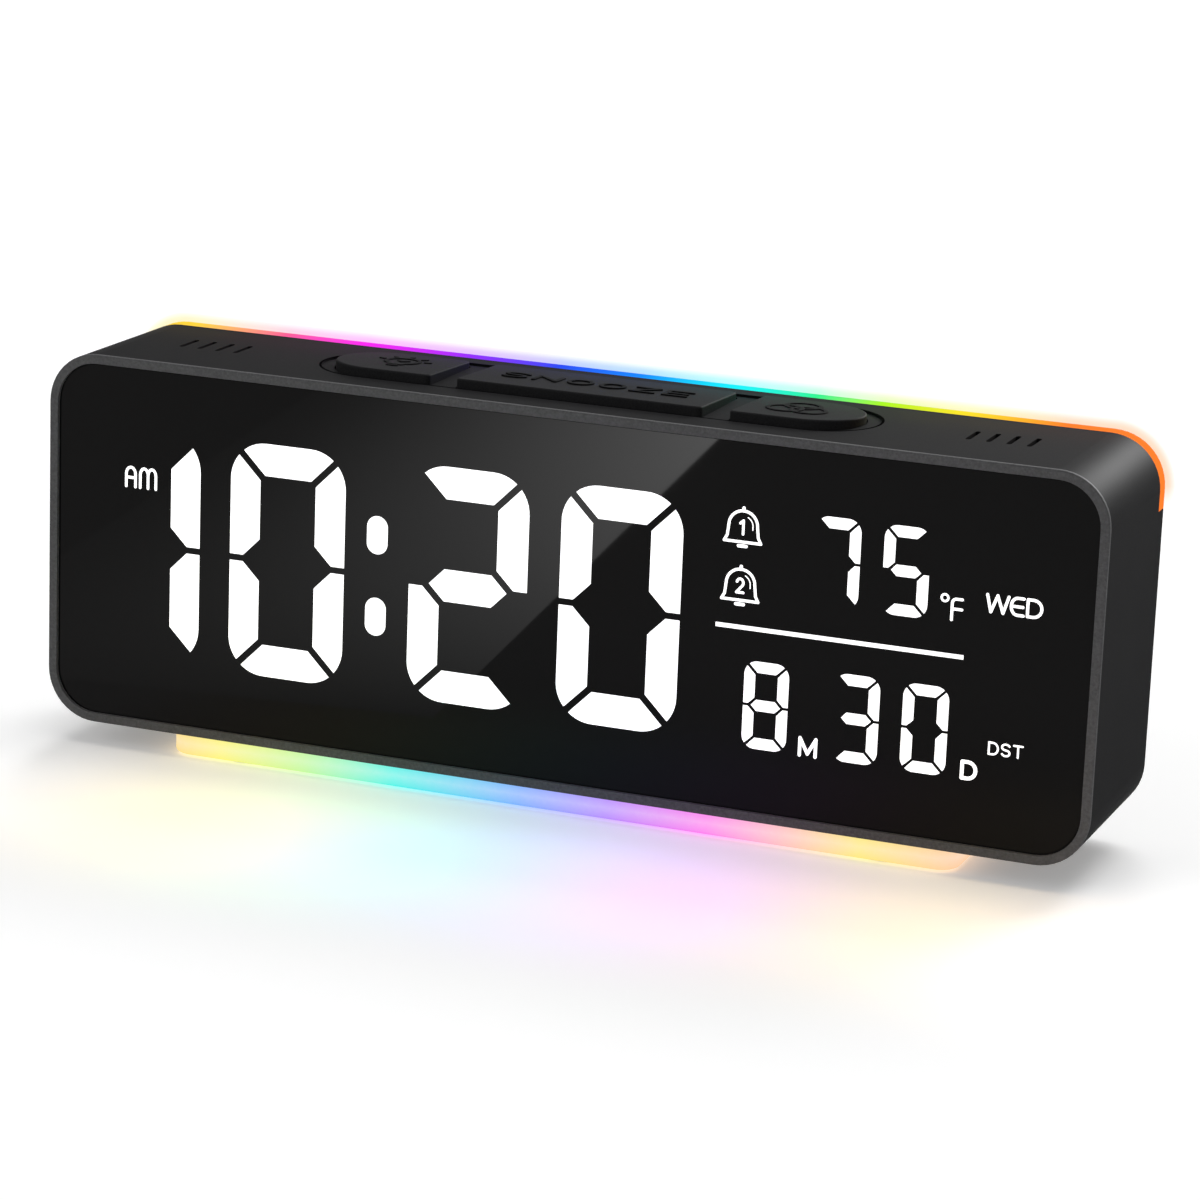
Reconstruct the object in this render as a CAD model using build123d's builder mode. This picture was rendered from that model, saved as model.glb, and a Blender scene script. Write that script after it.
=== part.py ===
from build123d import *
import math
import os

# Digital alarm clock: a rounded dark shell with a black mirror front, lit numerals, three keys in
# a well on top, a rainbow light guide round the rear top edge and a rainbow light bar for a foot.
# Millimetres. X is to the right seen from the front, Y to the rear, Z up. The origin is on the
# table, under the middle of the body. A depth is measured rearwards from the front rim.

# Body
body_width = 200.0
body_height = 69.5
body_depth = 37.3
corner_radius = 9.5
wall = 2.0
base_height = 4.9

# Front frame and mirror panel
rim_width = 1.66
frame_thickness = 0.8
frame_edge_radius = 0.3
panel_recess = 0.7
panel_thickness = 1.5
panel_gap = 0.24
panel_seat_clearance = 0.1
ledge_width = 2.5
ledge_thickness = 1.6

# Lit numerals: the time fills the front up to the block of small numerals at the right end
time_end_margin = 7.75
time_edge_margin = 13.05
time_block_gap = 6.7
time_bar = 5.9
time_gap = 1.35
middle_gap_share = 0.46
time_radius = 7.0
time_digit_space = 6.15
time_level = 0.27
colon_space = 6.4
colon_width = 4.05
colon_dot_height = 7.0
colon_dot_gap = 8.1
small_digit_width = 8.2
small_edge_margin = 13.1
small_bar = 2.0
small_gap = 0.58
small_radius = 2.4
small_digit_space = 4.2
temperature_inset = 41.5
temperature_gap = 5.85
month_inset = 59.4
day_inset = 36.6
date_gap = 5.75
divider_inset = 24.25
divider_length = 45.0
divider_width = 0.75
lit_recess = 0.05
lit_clearance = 0.05
lit_plate_thickness = 0.8
lit_plate_margin = 0.9

# Light box and display board
light_box_gap = 0.2
light_box_edge_gap = 6.75
light_box_depth = 6.0
light_window_margin = 0.2
legend_window_margin = 3.0
legend_window_width = 8.0
board_thickness = 1.6
board_top_gap = 0.25
board_edge_gap = 0.8
led_length = 3.0
led_width = 1.6
led_height = 0.8
led_spacing = 9.0
chip_size = 12.0
chip_height = 1.6
chip_edge = 0.3

# Screws and the bosses that take them
screw_radius = 1.1
screw_clearance = 0.05
screw_head_radius = 2.1
screw_head_height = 1.4
screw_reach = 4.2
screw_end_gap = 0.4
drive_length = 2.6
drive_width = 0.6
drive_depth = 0.7
boss_radius = 3.6
boss_wall_overlap = 0.4
display_boss_z = 10.0

# Top keys
well_end_margin = 2.8
well_edge_margin = 1.2
well_depth = 0.35
keys_end_margin = 49.8
key_setback = 8.95
outer_key_length = 21.7
key_gap = 5.2
key_corner = 1.0
key_front_rise = 1.5
key_rear_rise = 0.7
key_top_radius = 0.35
key_wall = 1.2
key_skirt = 0.6
key_opening_clearance = 0.25
key_flange_overhang = 0.9
key_flange_thickness = 1.0
key_flange_gap = 0.1
key_post_radius = 2.4
key_travel = 0.6

# Push switches, shared by the top and rear keys
switch_size = 6.0
switch_height = 3.5
plunger_radius = 1.6
plunger_clearance = 0.05
plunger_proud = 1.2
plunger_hidden = 0.9
plunger_end_gap = 0.2

# Button board under the top wall
button_post_length = 5.9
button_post_gap = 2.5
button_post_radius = 2.5
button_board_thickness = 1.2
button_board_width = 14.0
button_board_end = 9.5
button_post_y = 4.0
cable_width = 12.0
cable_thickness = 0.6
cable_inset = 24.0
cable_level = 14.0

# Vents, buzzer and temperature sensor
vent_shift = 0.68
vent_count = 4
vent_gap = 2.7
vent_length = 7.2
vent_width = 0.95
buzzer_radius = 6.5
buzzer_height = 5.5
buzzer_rim_height = 0.5
buzzer_rim_width = 0.8
buzzer_clearance = 0.1
collar_wall = 1.4
collar_height = 3.5
sensor_post_radius = 1.8
sensor_post_height = 3.0
sensor_post_spread = 7.0
sensor_board_width = 6.0
sensor_board_thickness = 1.0
sensor_bead_radius = 1.3

# Rear light guide and its lamps
guide_width = 3.4
guide_drop = 13.1
lap_length = 3.0
lap_depth = 1.0
lap_clearance = 0.08
guide_leg_depth = 1.0
strip_width = 2.8
strip_thickness = 0.6
strip_margin = 16.0
strip_led_size = 2.0
strip_led_height = 0.7
strip_led_gap = 0.1
strip_led_count = 14
shelf_thickness = 1.5

# Base light bar, its lamps, screws and feet
bar_end_inset = 24.0
bar_setback = 2.4
bar_rear_setback = 4.9
bar_corner = 4.0
bar_edge_radius = 0.8
bar_wall = 1.8
bar_floor = 1.6
foot_proud = 0.4
foot_radius = 4.2
foot_pocket_depth = 0.8
foot_clearance = 0.1
foot_edge_radius = 0.2
foot_end_inset = 14.0
foot_edge_inset = 6.0
bar_post_radius = 5.5
base_boss_radius = 3.0
base_boss_gap = 1.75
base_screw_head_gap = 0.3
base_strip_end_gap = 22.0
base_strip_width = 6.0
base_strip_thickness = 0.8
wire_slot_length = 10.0
wire_slot_width = 3.0

# Rear cover, setting keys, socket and main board
cover_recess = 1.0
cover_thickness = 2.4
cover_clearance = 0.15
rear_screw_inset_x = 10.0
rear_screw_inset_z = 9.25
rear_boss_start = 13.0
web_thickness = 2.4
web_end_gap = 0.9
counterbore_depth = 1.0
counterbore_clearance = 0.4
rear_key_names = ["mode", "up", "down", "alarm", "brightness"]
rear_key_radius = 2.8
rear_key_inset = 14.0
rear_key_end_inset = 18.0
rear_key_level = 8.0
rear_key_rise = 0.8
rear_key_clearance = 0.15
rear_key_flange_radius = 3.8
rear_key_flange_thickness = 0.9
rear_key_flange_gap = 0.1
rear_key_stem_radius = 1.8
rear_key_edge_radius = 0.4
standoff_length = 7.5
standoff_radius = 2.7
standoff_inset = 4.0
main_board_end_inset = 14.0
main_board_level = -1.5
main_board_width = 80.0
main_board_height = 40.0
main_chip_size = 14.0
main_chip_inset = 40.0
main_chip_level = -8.0
connector_length = 22.0
connector_width = 5.0
connector_inset = 16.0
connector_level = -9.0
socket_inset = 24.0
socket_level = -12.0
socket_width = 9.6
socket_height = 4.0
socket_skin = 0.4
socket_depth = 6.5
socket_tongue_width = 6.6
socket_tongue_thickness = 0.7
socket_tongue_length = 4.8
socket_clearance = 0.15

# Backup battery in the rear cover
bay_board_gap = 4.35
cell_radius = 5.25
cell_length = 44.5
cell_nub_radius = 1.9
cell_nub_length = 0.8
cell_gap = 0.6
cell_clearance = 0.1
cell_door_gap = 0.3
bay_wall = 1.4
bay_floor = 1.2
bay_ledge = 2.0
bay_margin = 0.35
contact_thickness = 0.5
contact_size = 8.0
contact_bump_length = 0.7
contact_bump_size = 3.4
contact_cone_length = 5.0
contact_cone_base = 3.4
contact_cone_tip = 2.0
door_thickness = 2.0
door_gap = 0.25
door_seat_gap = 0.1
hinge_pin_radius = 0.6
hinge_pin_clearance = 0.05
hinge_pin_reach = 1.3
hinge_pin_end_gap = 0.2
finger_notch_radius = 5.0
finger_notch_depth = 0.8
grip_rib_count = 3
grip_rib_length = 16.0
grip_rib_width = 0.8
grip_rib_height = 0.4
grip_rib_gap = 1.2
grip_rib_drop = 5.0


def corners(half_x, half_y, centre=(0, 0)):
    """Four corner points of a rectangle about a centre."""
    return [(centre[0] + sx * half_x, centre[1] + sy * half_y) for sx in (-1, 1) for sy in (-1, 1)]


# Places that follow from the sizes above
front_y = -body_depth / 2
body_bottom = base_height
body_top = base_height + body_height
body_mid = base_height + body_height / 2
ceiling = body_top - wall
cavity_half_width = body_width / 2 - wall
cavity_half_height = body_height / 2 - wall
panel_inset = rim_width + panel_gap
divider_x = body_width / 2 - divider_inset - divider_length / 2
time_right = divider_x - divider_length / 2 - time_block_gap
time_left = time_end_margin - body_width / 2
time_digit_width = (time_right - time_left - 2 * time_digit_space - 2 * colon_space) / 4
time_digit_height = body_height - 2 * time_edge_margin
time_spacing = time_digit_width + time_digit_space
colon_to_digit = time_digit_width / 2 + colon_space
colon_x = (time_left + time_right) / 2
colon_spacing = colon_dot_height + colon_dot_gap
small_digit_height = body_height / 2 - small_edge_margin - temperature_gap
small_spacing = small_digit_width + small_digit_space
temperature_x = body_width / 2 - temperature_inset
temperature_level = temperature_gap + small_digit_height / 2
month_x = body_width / 2 - month_inset
day_x = body_width / 2 - day_inset
date_level = -date_gap - small_digit_height / 2
panel_back = panel_recess + panel_thickness
ledge_back = panel_back + ledge_thickness
light_box_front = panel_back + lit_plate_thickness
display_board_front = light_box_front + light_box_depth
display_board_back = display_board_front + board_thickness
cover_back = body_depth - cover_recess
cover_front = cover_back - cover_thickness
main_board_back = cover_front - standoff_length
main_board_front = main_board_back - board_thickness
guide_front = body_depth - guide_width
guide_leg_inset = wall + guide_leg_depth
pilot_radius = screw_radius + screw_clearance
pilot_depth = screw_reach + screw_end_gap
head_hole_radius = screw_head_radius + counterbore_clearance
rear_screw_x = body_width / 2 - rear_screw_inset_x
rear_screw_z = body_height / 2 - rear_screw_inset_z
rear_screw_points = corners(rear_screw_x, rear_screw_z)
display_boss_x = cavity_half_width - boss_radius + boss_wall_overlap
display_screw_points = corners(display_boss_x, display_boss_z)
light_box_width = 2 * (display_boss_x - boss_radius - light_box_gap)
light_box_height = 2 * (cavity_half_height - light_box_edge_gap)
legend_window_height = small_digit_height + 2 * legend_window_margin
keys_length = body_width - 2 * keys_end_margin
key_width = body_depth - 2 * key_setback
snooze_length = keys_length - 2 * (outer_key_length + key_gap)
outer_switch_x = (keys_length - outer_key_length) / 2
well_length = keys_length + 2 * well_end_margin
well_width = key_width + 2 * well_edge_margin
button_board_top = ceiling - button_post_length
button_board_bottom = button_board_top - button_board_thickness
button_post_x = keys_length / 2 + key_flange_overhang + button_post_gap + button_post_radius
button_board_length = 2 * button_post_x + button_board_end
button_screw_points = corners(button_post_x, button_post_y)
display_board_height = 2 * (button_board_bottom - screw_head_height - board_top_gap - body_mid)
web_side = rear_screw_x - web_thickness / 2
vent_x = (button_board_length / 2 + web_side) / 2 + vent_shift
vent_spacing = vent_width + vent_gap
top_switch_x = {"light": -outer_switch_x, "snooze": 0.0, "colour": outer_switch_x}
top_key_side = {"light": -1, "snooze": 0, "colour": 1}
main_board_right = body_width / 2 - main_board_end_inset
main_board_left = main_board_right - main_board_width
main_board_x = (main_board_left + main_board_right) / 2
rear_key_run = main_board_width - rear_key_inset - rear_key_end_inset
rear_key_spacing = rear_key_run / (len(rear_key_names) - 1)
rear_key_first_x = main_board_left + rear_key_inset
rear_key_x = {name: rear_key_first_x + i * rear_key_spacing for i, name in enumerate(rear_key_names)}
main_chip_x = main_board_left + main_chip_inset
connector_x = main_board_left + connector_inset
cable_x = main_board_left + cable_inset
socket_x = main_board_right - socket_inset
standoff_x = main_board_width / 2 - standoff_inset
standoff_z = main_board_height / 2 - standoff_inset
standoff_points = corners(standoff_x, standoff_z, (main_board_x, main_board_level))
bar_length = body_width - 2 * bar_end_inset
bar_depth = body_depth - bar_setback - bar_rear_setback
bar_y = front_y + bar_setback + bar_depth / 2
foot_x = bar_length / 2 - foot_end_inset
foot_y_spread = bar_depth / 2 - foot_edge_inset
base_boss_height = light_box_edge_gap - base_boss_gap
base_strip_length = bar_length - 2 * base_strip_end_gap
bar_floor_top = foot_proud + bar_floor
foot_ceiling = foot_proud + foot_pocket_depth
foot_points = corners(foot_x, foot_y_spread, (0, bar_y))
base_head_top = foot_ceiling + base_screw_head_gap + screw_head_height
shelf_top = body_height / 2 - guide_leg_inset - strip_led_gap - strip_led_height - strip_thickness
contacts_length = 2 * contact_thickness + contact_bump_length + contact_cone_length
bay_length = cell_length + cell_nub_length + contacts_length
bay_height = 4 * cell_radius + cell_gap + 2 * bay_margin
door_length = bay_length + 2 * bay_ledge
bay_outer_length = door_length + 2 * (door_gap + bay_wall)
battery_x = main_board_left - bay_board_gap - bay_outer_length / 2
door_height = bay_height + 2 * bay_ledge
door_front = cover_back - door_thickness
door_seat = door_front - door_seat_gap
cell_axis_depth = door_front - cell_door_gap - cell_radius
cell_level = cell_radius + cell_gap / 2
bay_bottom = cell_axis_depth - cell_radius - cell_clearance
grip_rib_spacing = grip_rib_width + grip_rib_gap
hinge_y = front_y + cover_back - door_thickness / 2
hinge_level = -door_height / 2 + door_thickness / 2

os.makedirs("parts", exist_ok=True)


def facing(depth):
    """Upright plane at a depth behind the rim: its X to the right, its Y up from mid-height."""
    return Plane(origin=(0, front_y + depth, body_mid), x_dir=(1, 0, 0), z_dir=(0, -1, 0))


def level(height):
    """Horizontal plane at a height above the table."""
    return Plane.XY.offset(height)


def across(x):
    """Upright plane square to X: its X towards the rear, its Y up from mid-height."""
    return Plane(origin=(x, 0, body_mid), x_dir=(0, 1, 0), z_dir=(1, 0, 0))


def body_outline(inset, mode=Mode.ADD):
    """Rounded outline of the body's section, drawn in by an inset."""
    RectangleRounded(body_width - 2 * inset, body_height - 2 * inset, corner_radius - inset, mode=mode)


def arch(outer_inset, inner_inset):
    """Band that follows the body's outline over the top and down both upper corners."""
    body_outline(outer_inset)
    body_outline(inner_inset, mode=Mode.SUBTRACT)
    with Locations((0, (body_height - guide_drop) / 2)):
        Rectangle(body_width, guide_drop, mode=Mode.INTERSECT)


def key_outline(side, grow):
    """Outline of one top key: the outer two have a round end, the middle one is a rounded bar."""
    if side == 0:
        RectangleRounded(snooze_length + 2 * grow, key_width + 2 * grow, key_corner + grow)
        return
    inner_x = snooze_length / 2 + key_gap - grow
    length = keys_length / 2 + grow - inner_x
    SlotOverall(keys_length + 2 * grow, key_width + 2 * grow)
    with Locations((side * (inner_x + length / 2), 0)):
        Rectangle(length, key_width + 2 * grow, mode=Mode.INTERSECT)
    inner_corners = vertices().group_by(Axis.X)[0 if side > 0 else -1]
    fillet(inner_corners, key_corner + grow)


def digit_bars(lit, width, height, bar, gap, radius):
    """Lit bars of one seven-bar digit about its own centre, its outer corners rounded."""
    half_width = width / 2
    half_height = height / 2
    mitre = gap / math.sqrt(2)
    middle_gap = middle_gap_share * gap
    inner = half_width - bar
    upper_left = [
        (-half_width, middle_gap),
        (-half_width + bar / 2 - mitre + middle_gap, middle_gap),
        (-inner, bar / 2 + mitre),
        (-inner, half_height - bar - mitre),
        (-half_width, half_height - mitre),
    ]
    top = [
        (-half_width + mitre, half_height),
        (half_width - mitre, half_height),
        (inner - mitre, half_height - bar),
        (-inner + mitre, half_height - bar),
    ]
    right_half = [(inner - mitre, -bar / 2), (inner + bar / 2 - mitre, 0), (inner - mitre, bar / 2)]
    middle = right_half + [(-x, -z) for x, z in right_half]
    bars = {
        "a": top,
        "b": [(-x, z) for x, z in upper_left],
        "c": [(-x, -z) for x, z in upper_left],
        "d": [(x, -z) for x, z in top],
        "e": [(x, -z) for x, z in upper_left],
        "f": upper_left,
        "g": middle,
    }
    outline = RectangleRounded(width, height, radius, mode=Mode.PRIVATE)
    return [Polygon(*bars[letter], align=None, mode=Mode.PRIVATE) & outline for letter in lit]


digit_letters = {
    "0": "abcdef",
    "1": "bc",
    "2": "abged",
    "3": "abgcd",
    "5": "afgcd",
    "7": "abc",
    "8": "abcdefg",
}
time_style = (time_digit_width, time_digit_height, time_bar, time_gap, time_radius)
small_style = (small_digit_width, small_digit_height, small_bar, small_gap, small_radius)
hour_x = colon_x - colon_to_digit
minute_x = colon_x + colon_to_digit
digit_groups = {
    "hour_digits": [
        ("1", hour_x - time_spacing, time_level, time_style),
        ("0", hour_x, time_level, time_style),
    ],
    "minute_digits": [
        ("2", minute_x, time_level, time_style),
        ("0", minute_x + time_spacing, time_level, time_style),
    ],
    "temperature_digits": [
        ("7", temperature_x - small_spacing / 2, temperature_level, small_style),
        ("5", temperature_x + small_spacing / 2, temperature_level, small_style),
    ],
    "date_digits": [
        ("8", month_x, date_level, small_style),
        ("3", day_x - small_spacing / 2, date_level, small_style),
        ("0", day_x + small_spacing / 2, date_level, small_style),
    ],
}
lit_names = list(digit_groups) + ["colon_dots", "divider_line"]


def lit_shape(name):
    """Draws one lit group of the display in the open sketch."""
    if name == "colon_dots":
        with Locations((colon_x, time_level)):
            with GridLocations(0, colon_spacing, 1, 2):
                SlotOverall(colon_dot_height, colon_width, rotation=90)
    elif name == "divider_line":
        with Locations((divider_x, 0)):
            Rectangle(divider_length, divider_width)
    else:
        for figure, x, z, style in digit_groups[name]:
            bars = digit_bars(digit_letters[figure], *style)
            with Locations((x, z)):
                add(bars)


def screws(seat, points, clamped, heads_out):
    """Cross-head screws in the open part, through a clamped thickness and into a boss.

    The heads lie on the seat plane, on the side that it faces or on the other."""
    out = 1 if heads_out else -1
    add_posts(seat, points, screw_head_radius, out * screw_head_height)
    add_posts(seat, points, screw_radius, -out * (clamped + screw_reach))
    with BuildSketch(seat.offset(out * screw_head_height)) as drives:
        with Locations(*points):
            Rectangle(drive_length, drive_width)
            Rectangle(drive_width, drive_length)
    extrude(drives.sketch, amount=-out * drive_depth, mode=Mode.SUBTRACT)


def cut_holes(plane, points, radius, amount):
    """Round holes cut into the open part from a plane."""
    with BuildSketch(plane) as holes:
        with Locations(*points):
            Circle(radius)
    extrude(holes.sketch, amount=amount, mode=Mode.SUBTRACT)


def add_posts(plane, points, radius, amount):
    """Round posts raised on the open part from a plane."""
    with BuildSketch(plane) as posts:
        with Locations(*points):
            Circle(radius)
    extrude(posts.sketch, amount=amount)


# Front frame: the grey rim that closes the front edge of the shell
with BuildPart() as front_frame:
    with BuildSketch(facing(0)):
        body_outline(0)
        body_outline(rim_width, mode=Mode.SUBTRACT)
    extrude(amount=-frame_thickness)
    rim_face = front_frame.faces().sort_by(Axis.Y)[0]
    fillet(rim_face.outer_wire().edges(), frame_edge_radius)
front_frame.part.label = "front_frame"
export_step(front_frame.part, "parts/front_frame.step")

# Main housing: the shell, with the seats of everything that it carries
with BuildPart() as main_housing:
    with BuildSketch(facing(frame_thickness)):
        body_outline(0)
    extrude(amount=-(body_depth - frame_thickness))
    with BuildSketch(facing(frame_thickness)):
        body_outline(panel_inset - panel_seat_clearance)
    extrude(amount=-(panel_back - frame_thickness), mode=Mode.SUBTRACT)
    with BuildSketch(facing(panel_back)):
        body_outline(wall + ledge_width)
    extrude(amount=-ledge_thickness, mode=Mode.SUBTRACT)
    with BuildSketch(facing(ledge_back)):
        body_outline(wall)
    extrude(amount=-(body_depth - ledge_back), mode=Mode.SUBTRACT)

    # Seat of the light guide: a step in the rear edge and a lap behind it
    with BuildSketch(facing(guide_front)):
        arch(0, wall)
    extrude(amount=-guide_width, mode=Mode.SUBTRACT)
    with BuildSketch(facing(guide_front - lap_length)):
        arch(wall - lap_depth, wall)
    extrude(amount=-lap_length, mode=Mode.SUBTRACT)

    # Bosses of the rear screws, on webs from the top and bottom walls
    add_posts(facing(rear_boss_start), rear_screw_points, boss_radius, -(cover_front - rear_boss_start))
    web_height = cavity_half_height - rear_screw_z
    with BuildSketch(facing(rear_boss_start)):
        for x, z in rear_screw_points:
            with Locations((x, math.copysign(rear_screw_z + web_height / 2, z))):
                Rectangle(web_thickness, web_height)
    extrude(amount=-(guide_front - lap_length - web_end_gap - rear_boss_start))
    cut_holes(facing(cover_front), rear_screw_points, pilot_radius, pilot_depth)

    # Bosses of the display board on the side walls
    add_posts(facing(ledge_back), display_screw_points, boss_radius, -(display_board_front - ledge_back))
    cut_holes(facing(display_board_front), display_screw_points, pilot_radius, pilot_depth)

    # Posts of the button board, collar of the buzzer and posts of the sensor, under the top wall
    add_posts(level(button_board_top), button_screw_points, button_post_radius, button_post_length)
    cut_holes(level(button_board_top), button_screw_points, pilot_radius, pilot_depth)
    with BuildSketch(level(ceiling - collar_height)):
        with Locations((vent_x, 0)):
            Circle(buzzer_radius + buzzer_clearance + collar_wall)
            Circle(buzzer_radius + buzzer_clearance, mode=Mode.SUBTRACT)
    extrude(amount=collar_height)
    sensor_posts = [(-vent_x - sensor_post_spread, 0), (-vent_x + sensor_post_spread, 0)]
    add_posts(level(ceiling - sensor_post_height), sensor_posts, sensor_post_radius, sensor_post_height)

    # Bosses of the base screws on the floor, and the slot for the wires of the base lamps
    add_posts(level(body_bottom), foot_points, base_boss_radius, wall + base_boss_height)
    cut_holes(level(body_bottom), foot_points, pilot_radius, wall + base_boss_height - screw_end_gap)
    with BuildSketch(level(body_bottom)):
        with Locations((0, bar_y)):
            SlotOverall(wire_slot_length, wire_slot_width)
    extrude(amount=wall, mode=Mode.SUBTRACT)

    # Key well, key openings and vent slots in the top
    with BuildSketch(level(body_top)):
        SlotOverall(well_length, well_width)
    extrude(amount=-well_depth, mode=Mode.SUBTRACT)
    for side in top_key_side.values():
        with BuildSketch(level(body_top)):
            key_outline(side, key_opening_clearance)
        extrude(amount=-wall, mode=Mode.SUBTRACT)
    with BuildSketch(level(body_top)):
        with Locations((-vent_x, 0), (vent_x, 0)):
            with GridLocations(vent_spacing, 0, vent_count, 1):
                SlotOverall(vent_length, vent_width, rotation=90)
    extrude(amount=-wall, mode=Mode.SUBTRACT)
main_housing.part.label = "main_housing"
export_step(main_housing.part, "parts/main_housing.step")

# Mirror panel: black acrylic with a window for each lit bar
with BuildPart() as mirror_panel:
    with BuildSketch(facing(panel_recess)):
        body_outline(panel_inset)
    extrude(amount=-panel_thickness)
    for name in lit_names:
        with BuildSketch(facing(panel_recess)):
            lit_shape(name)
            offset(amount=lit_clearance, kind=Kind.INTERSECTION)
        extrude(amount=-panel_thickness, mode=Mode.SUBTRACT)
mirror_panel.part.label = "mirror_panel"
export_step(mirror_panel.part, "parts/mirror_panel.step")

# Lit groups: raised bars that fill the windows, moulded on a plate behind the panel
lit_boxes = {}
for name in lit_names:
    with BuildPart() as lit_group:
        with BuildSketch(facing(panel_recess + lit_recess)):
            lit_shape(name)
        extrude(amount=-(panel_thickness - lit_recess))
        box = lit_group.part.bounding_box()
        lit_boxes[name] = (box.center().X, box.center().Z - body_mid, box.size.X, box.size.Z)
        x, z, width, height = lit_boxes[name]
        with BuildSketch(facing(panel_back)):
            with Locations((x, z)):
                Rectangle(width + 2 * lit_plate_margin, height + 2 * lit_plate_margin)
        extrude(amount=-lit_plate_thickness)
    lit_group.part.label = name
    export_step(lit_group.part, f"parts/{name}.step")

# Light box: keeps the light of each lit group to itself
bell_window_x = divider_x - divider_length / 2 + legend_window_width / 2
week_window_x = light_box_width / 2 - legend_window_width
with BuildPart() as light_box:
    with BuildSketch(facing(light_box_front)):
        Rectangle(light_box_width, light_box_height)
        for x, z, width, height in lit_boxes.values():
            window_width = max(width, led_length) + 2 * light_window_margin
            window_height = max(height, led_width) + 2 * light_window_margin
            with Locations((x, z)):
                Rectangle(window_width, window_height, mode=Mode.SUBTRACT)
        with Locations((bell_window_x, temperature_level), (week_window_x, 0)):
            Rectangle(legend_window_width, legend_window_height, mode=Mode.SUBTRACT)
    extrude(amount=-light_box_depth)
light_box.part.label = "light_box"
export_step(light_box.part, "parts/light_box.step")

# Display board, screwed to the side walls behind the light box
with BuildPart() as display_board:
    board_width = 2 * (cavity_half_width - board_edge_gap)
    with BuildSketch(facing(display_board_front)):
        Rectangle(board_width, display_board_height)
        with Locations(*display_screw_points):
            Circle(pilot_radius, mode=Mode.SUBTRACT)
    extrude(amount=-board_thickness)
display_board.part.label = "display_board"
export_step(display_board.part, "parts/display_board.step")

# Lamps on the display board, a grid behind each lit group
with BuildPart() as display_leds:
    with BuildSketch(facing(display_board_front)):
        for x, z, width, height in lit_boxes.values():
            columns = max(1, round(width / led_spacing))
            rows = max(1, round(height / led_spacing))
            with Locations((x, z)):
                with GridLocations(width / columns, height / rows, columns, rows):
                    Rectangle(led_length, led_width)
    extrude(amount=led_height)
display_leds.part.label = "display_leds"
export_step(display_leds.part, "parts/display_leds.step")

# Chip that drives the display, on the rear of its board
with BuildPart() as display_driver:
    with BuildSketch(facing(display_board_back)):
        with Locations((hour_x, 0)):
            Rectangle(chip_size, chip_size)
    extrude(amount=-chip_height)
    chamfer(display_driver.faces().sort_by(Axis.Y)[-1].edges(), chip_edge)
display_driver.part.label = "display_driver"
export_step(display_driver.part, "parts/display_driver.step")

with BuildPart() as display_screws:
    screws(facing(display_board_back), display_screw_points, board_thickness, heads_out=False)
display_screws.part.label = "display_screws"
export_step(display_screws.part, "parts/display_screws.step")

# Top keys: a sloping cap above the well, a flange under the wall and a post over the switch
plunger_top = button_board_top + switch_height + plunger_proud
flange_top = ceiling - key_flange_gap
flange_bottom = flange_top - key_flange_thickness
key_ceiling = body_top + key_rear_rise - key_wall
key_slope = (key_front_rise - key_rear_rise) / key_width
key_mid_top = body_top + (key_front_rise + key_rear_rise) / 2
for name, side in top_key_side.items():
    with BuildPart() as top_key:
        with BuildSketch(level(flange_bottom)):
            key_outline(side, 0)
        extrude(amount=body_top + key_front_rise - flange_bottom)
        split(bisect_by=Plane(origin=(0, 0, key_mid_top), z_dir=(0, key_slope, 1)), keep=Keep.BOTTOM)
        fillet(top_key.faces().sort_by(Axis.Z)[-1].edges(), key_top_radius)
        with BuildSketch(level(flange_bottom)):
            key_outline(side, key_flange_overhang)
        extrude(amount=key_flange_thickness)
        with BuildSketch(level(flange_bottom)):
            key_outline(side, -key_skirt)
        extrude(amount=key_ceiling - flange_bottom, mode=Mode.SUBTRACT)
        add_posts(level(plunger_top), [(top_switch_x[name], 0)], key_post_radius, key_ceiling - plunger_top)
    top_key.part.label = f"{name}_button"
    export_step(top_key.part, f"parts/{name}_button.step")

    with BuildPart() as top_plunger:
        plunger_length = plunger_proud + plunger_hidden
        add_posts(level(plunger_top), [(top_switch_x[name], 0)], plunger_radius, -plunger_length)
    top_plunger.part.label = f"{name}_plunger"
    export_step(top_plunger.part, f"parts/{name}_plunger.step")

# Push switches under the top keys: a body with a bore for its plunger
bore_radius = plunger_radius + plunger_clearance
bore_depth = plunger_hidden + key_travel + plunger_end_gap
with BuildPart() as top_switches:
    switch_points = [(x, 0) for x in top_switch_x.values()]
    with BuildSketch(level(button_board_top)):
        with Locations(*switch_points):
            Rectangle(switch_size, switch_size)
    extrude(amount=switch_height)
    cut_holes(level(button_board_top + switch_height), switch_points, bore_radius, -bore_depth)
top_switches.part.label = "top_switches"
export_step(top_switches.part, "parts/top_switches.step")

# Button board, hung on four posts under the top wall
with BuildPart() as button_board:
    with BuildSketch(level(button_board_top)):
        RectangleRounded(button_board_length, button_board_width, button_post_radius)
        with Locations(*button_screw_points):
            Circle(pilot_radius, mode=Mode.SUBTRACT)
    extrude(amount=-button_board_thickness)
button_board.part.label = "button_board"
export_step(button_board.part, "parts/button_board.step")

with BuildPart() as button_board_screws:
    screws(level(button_board_bottom), button_screw_points, button_board_thickness, heads_out=False)
button_board_screws.part.label = "button_board_screws"
export_step(button_board_screws.part, "parts/button_board_screws.step")

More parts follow.
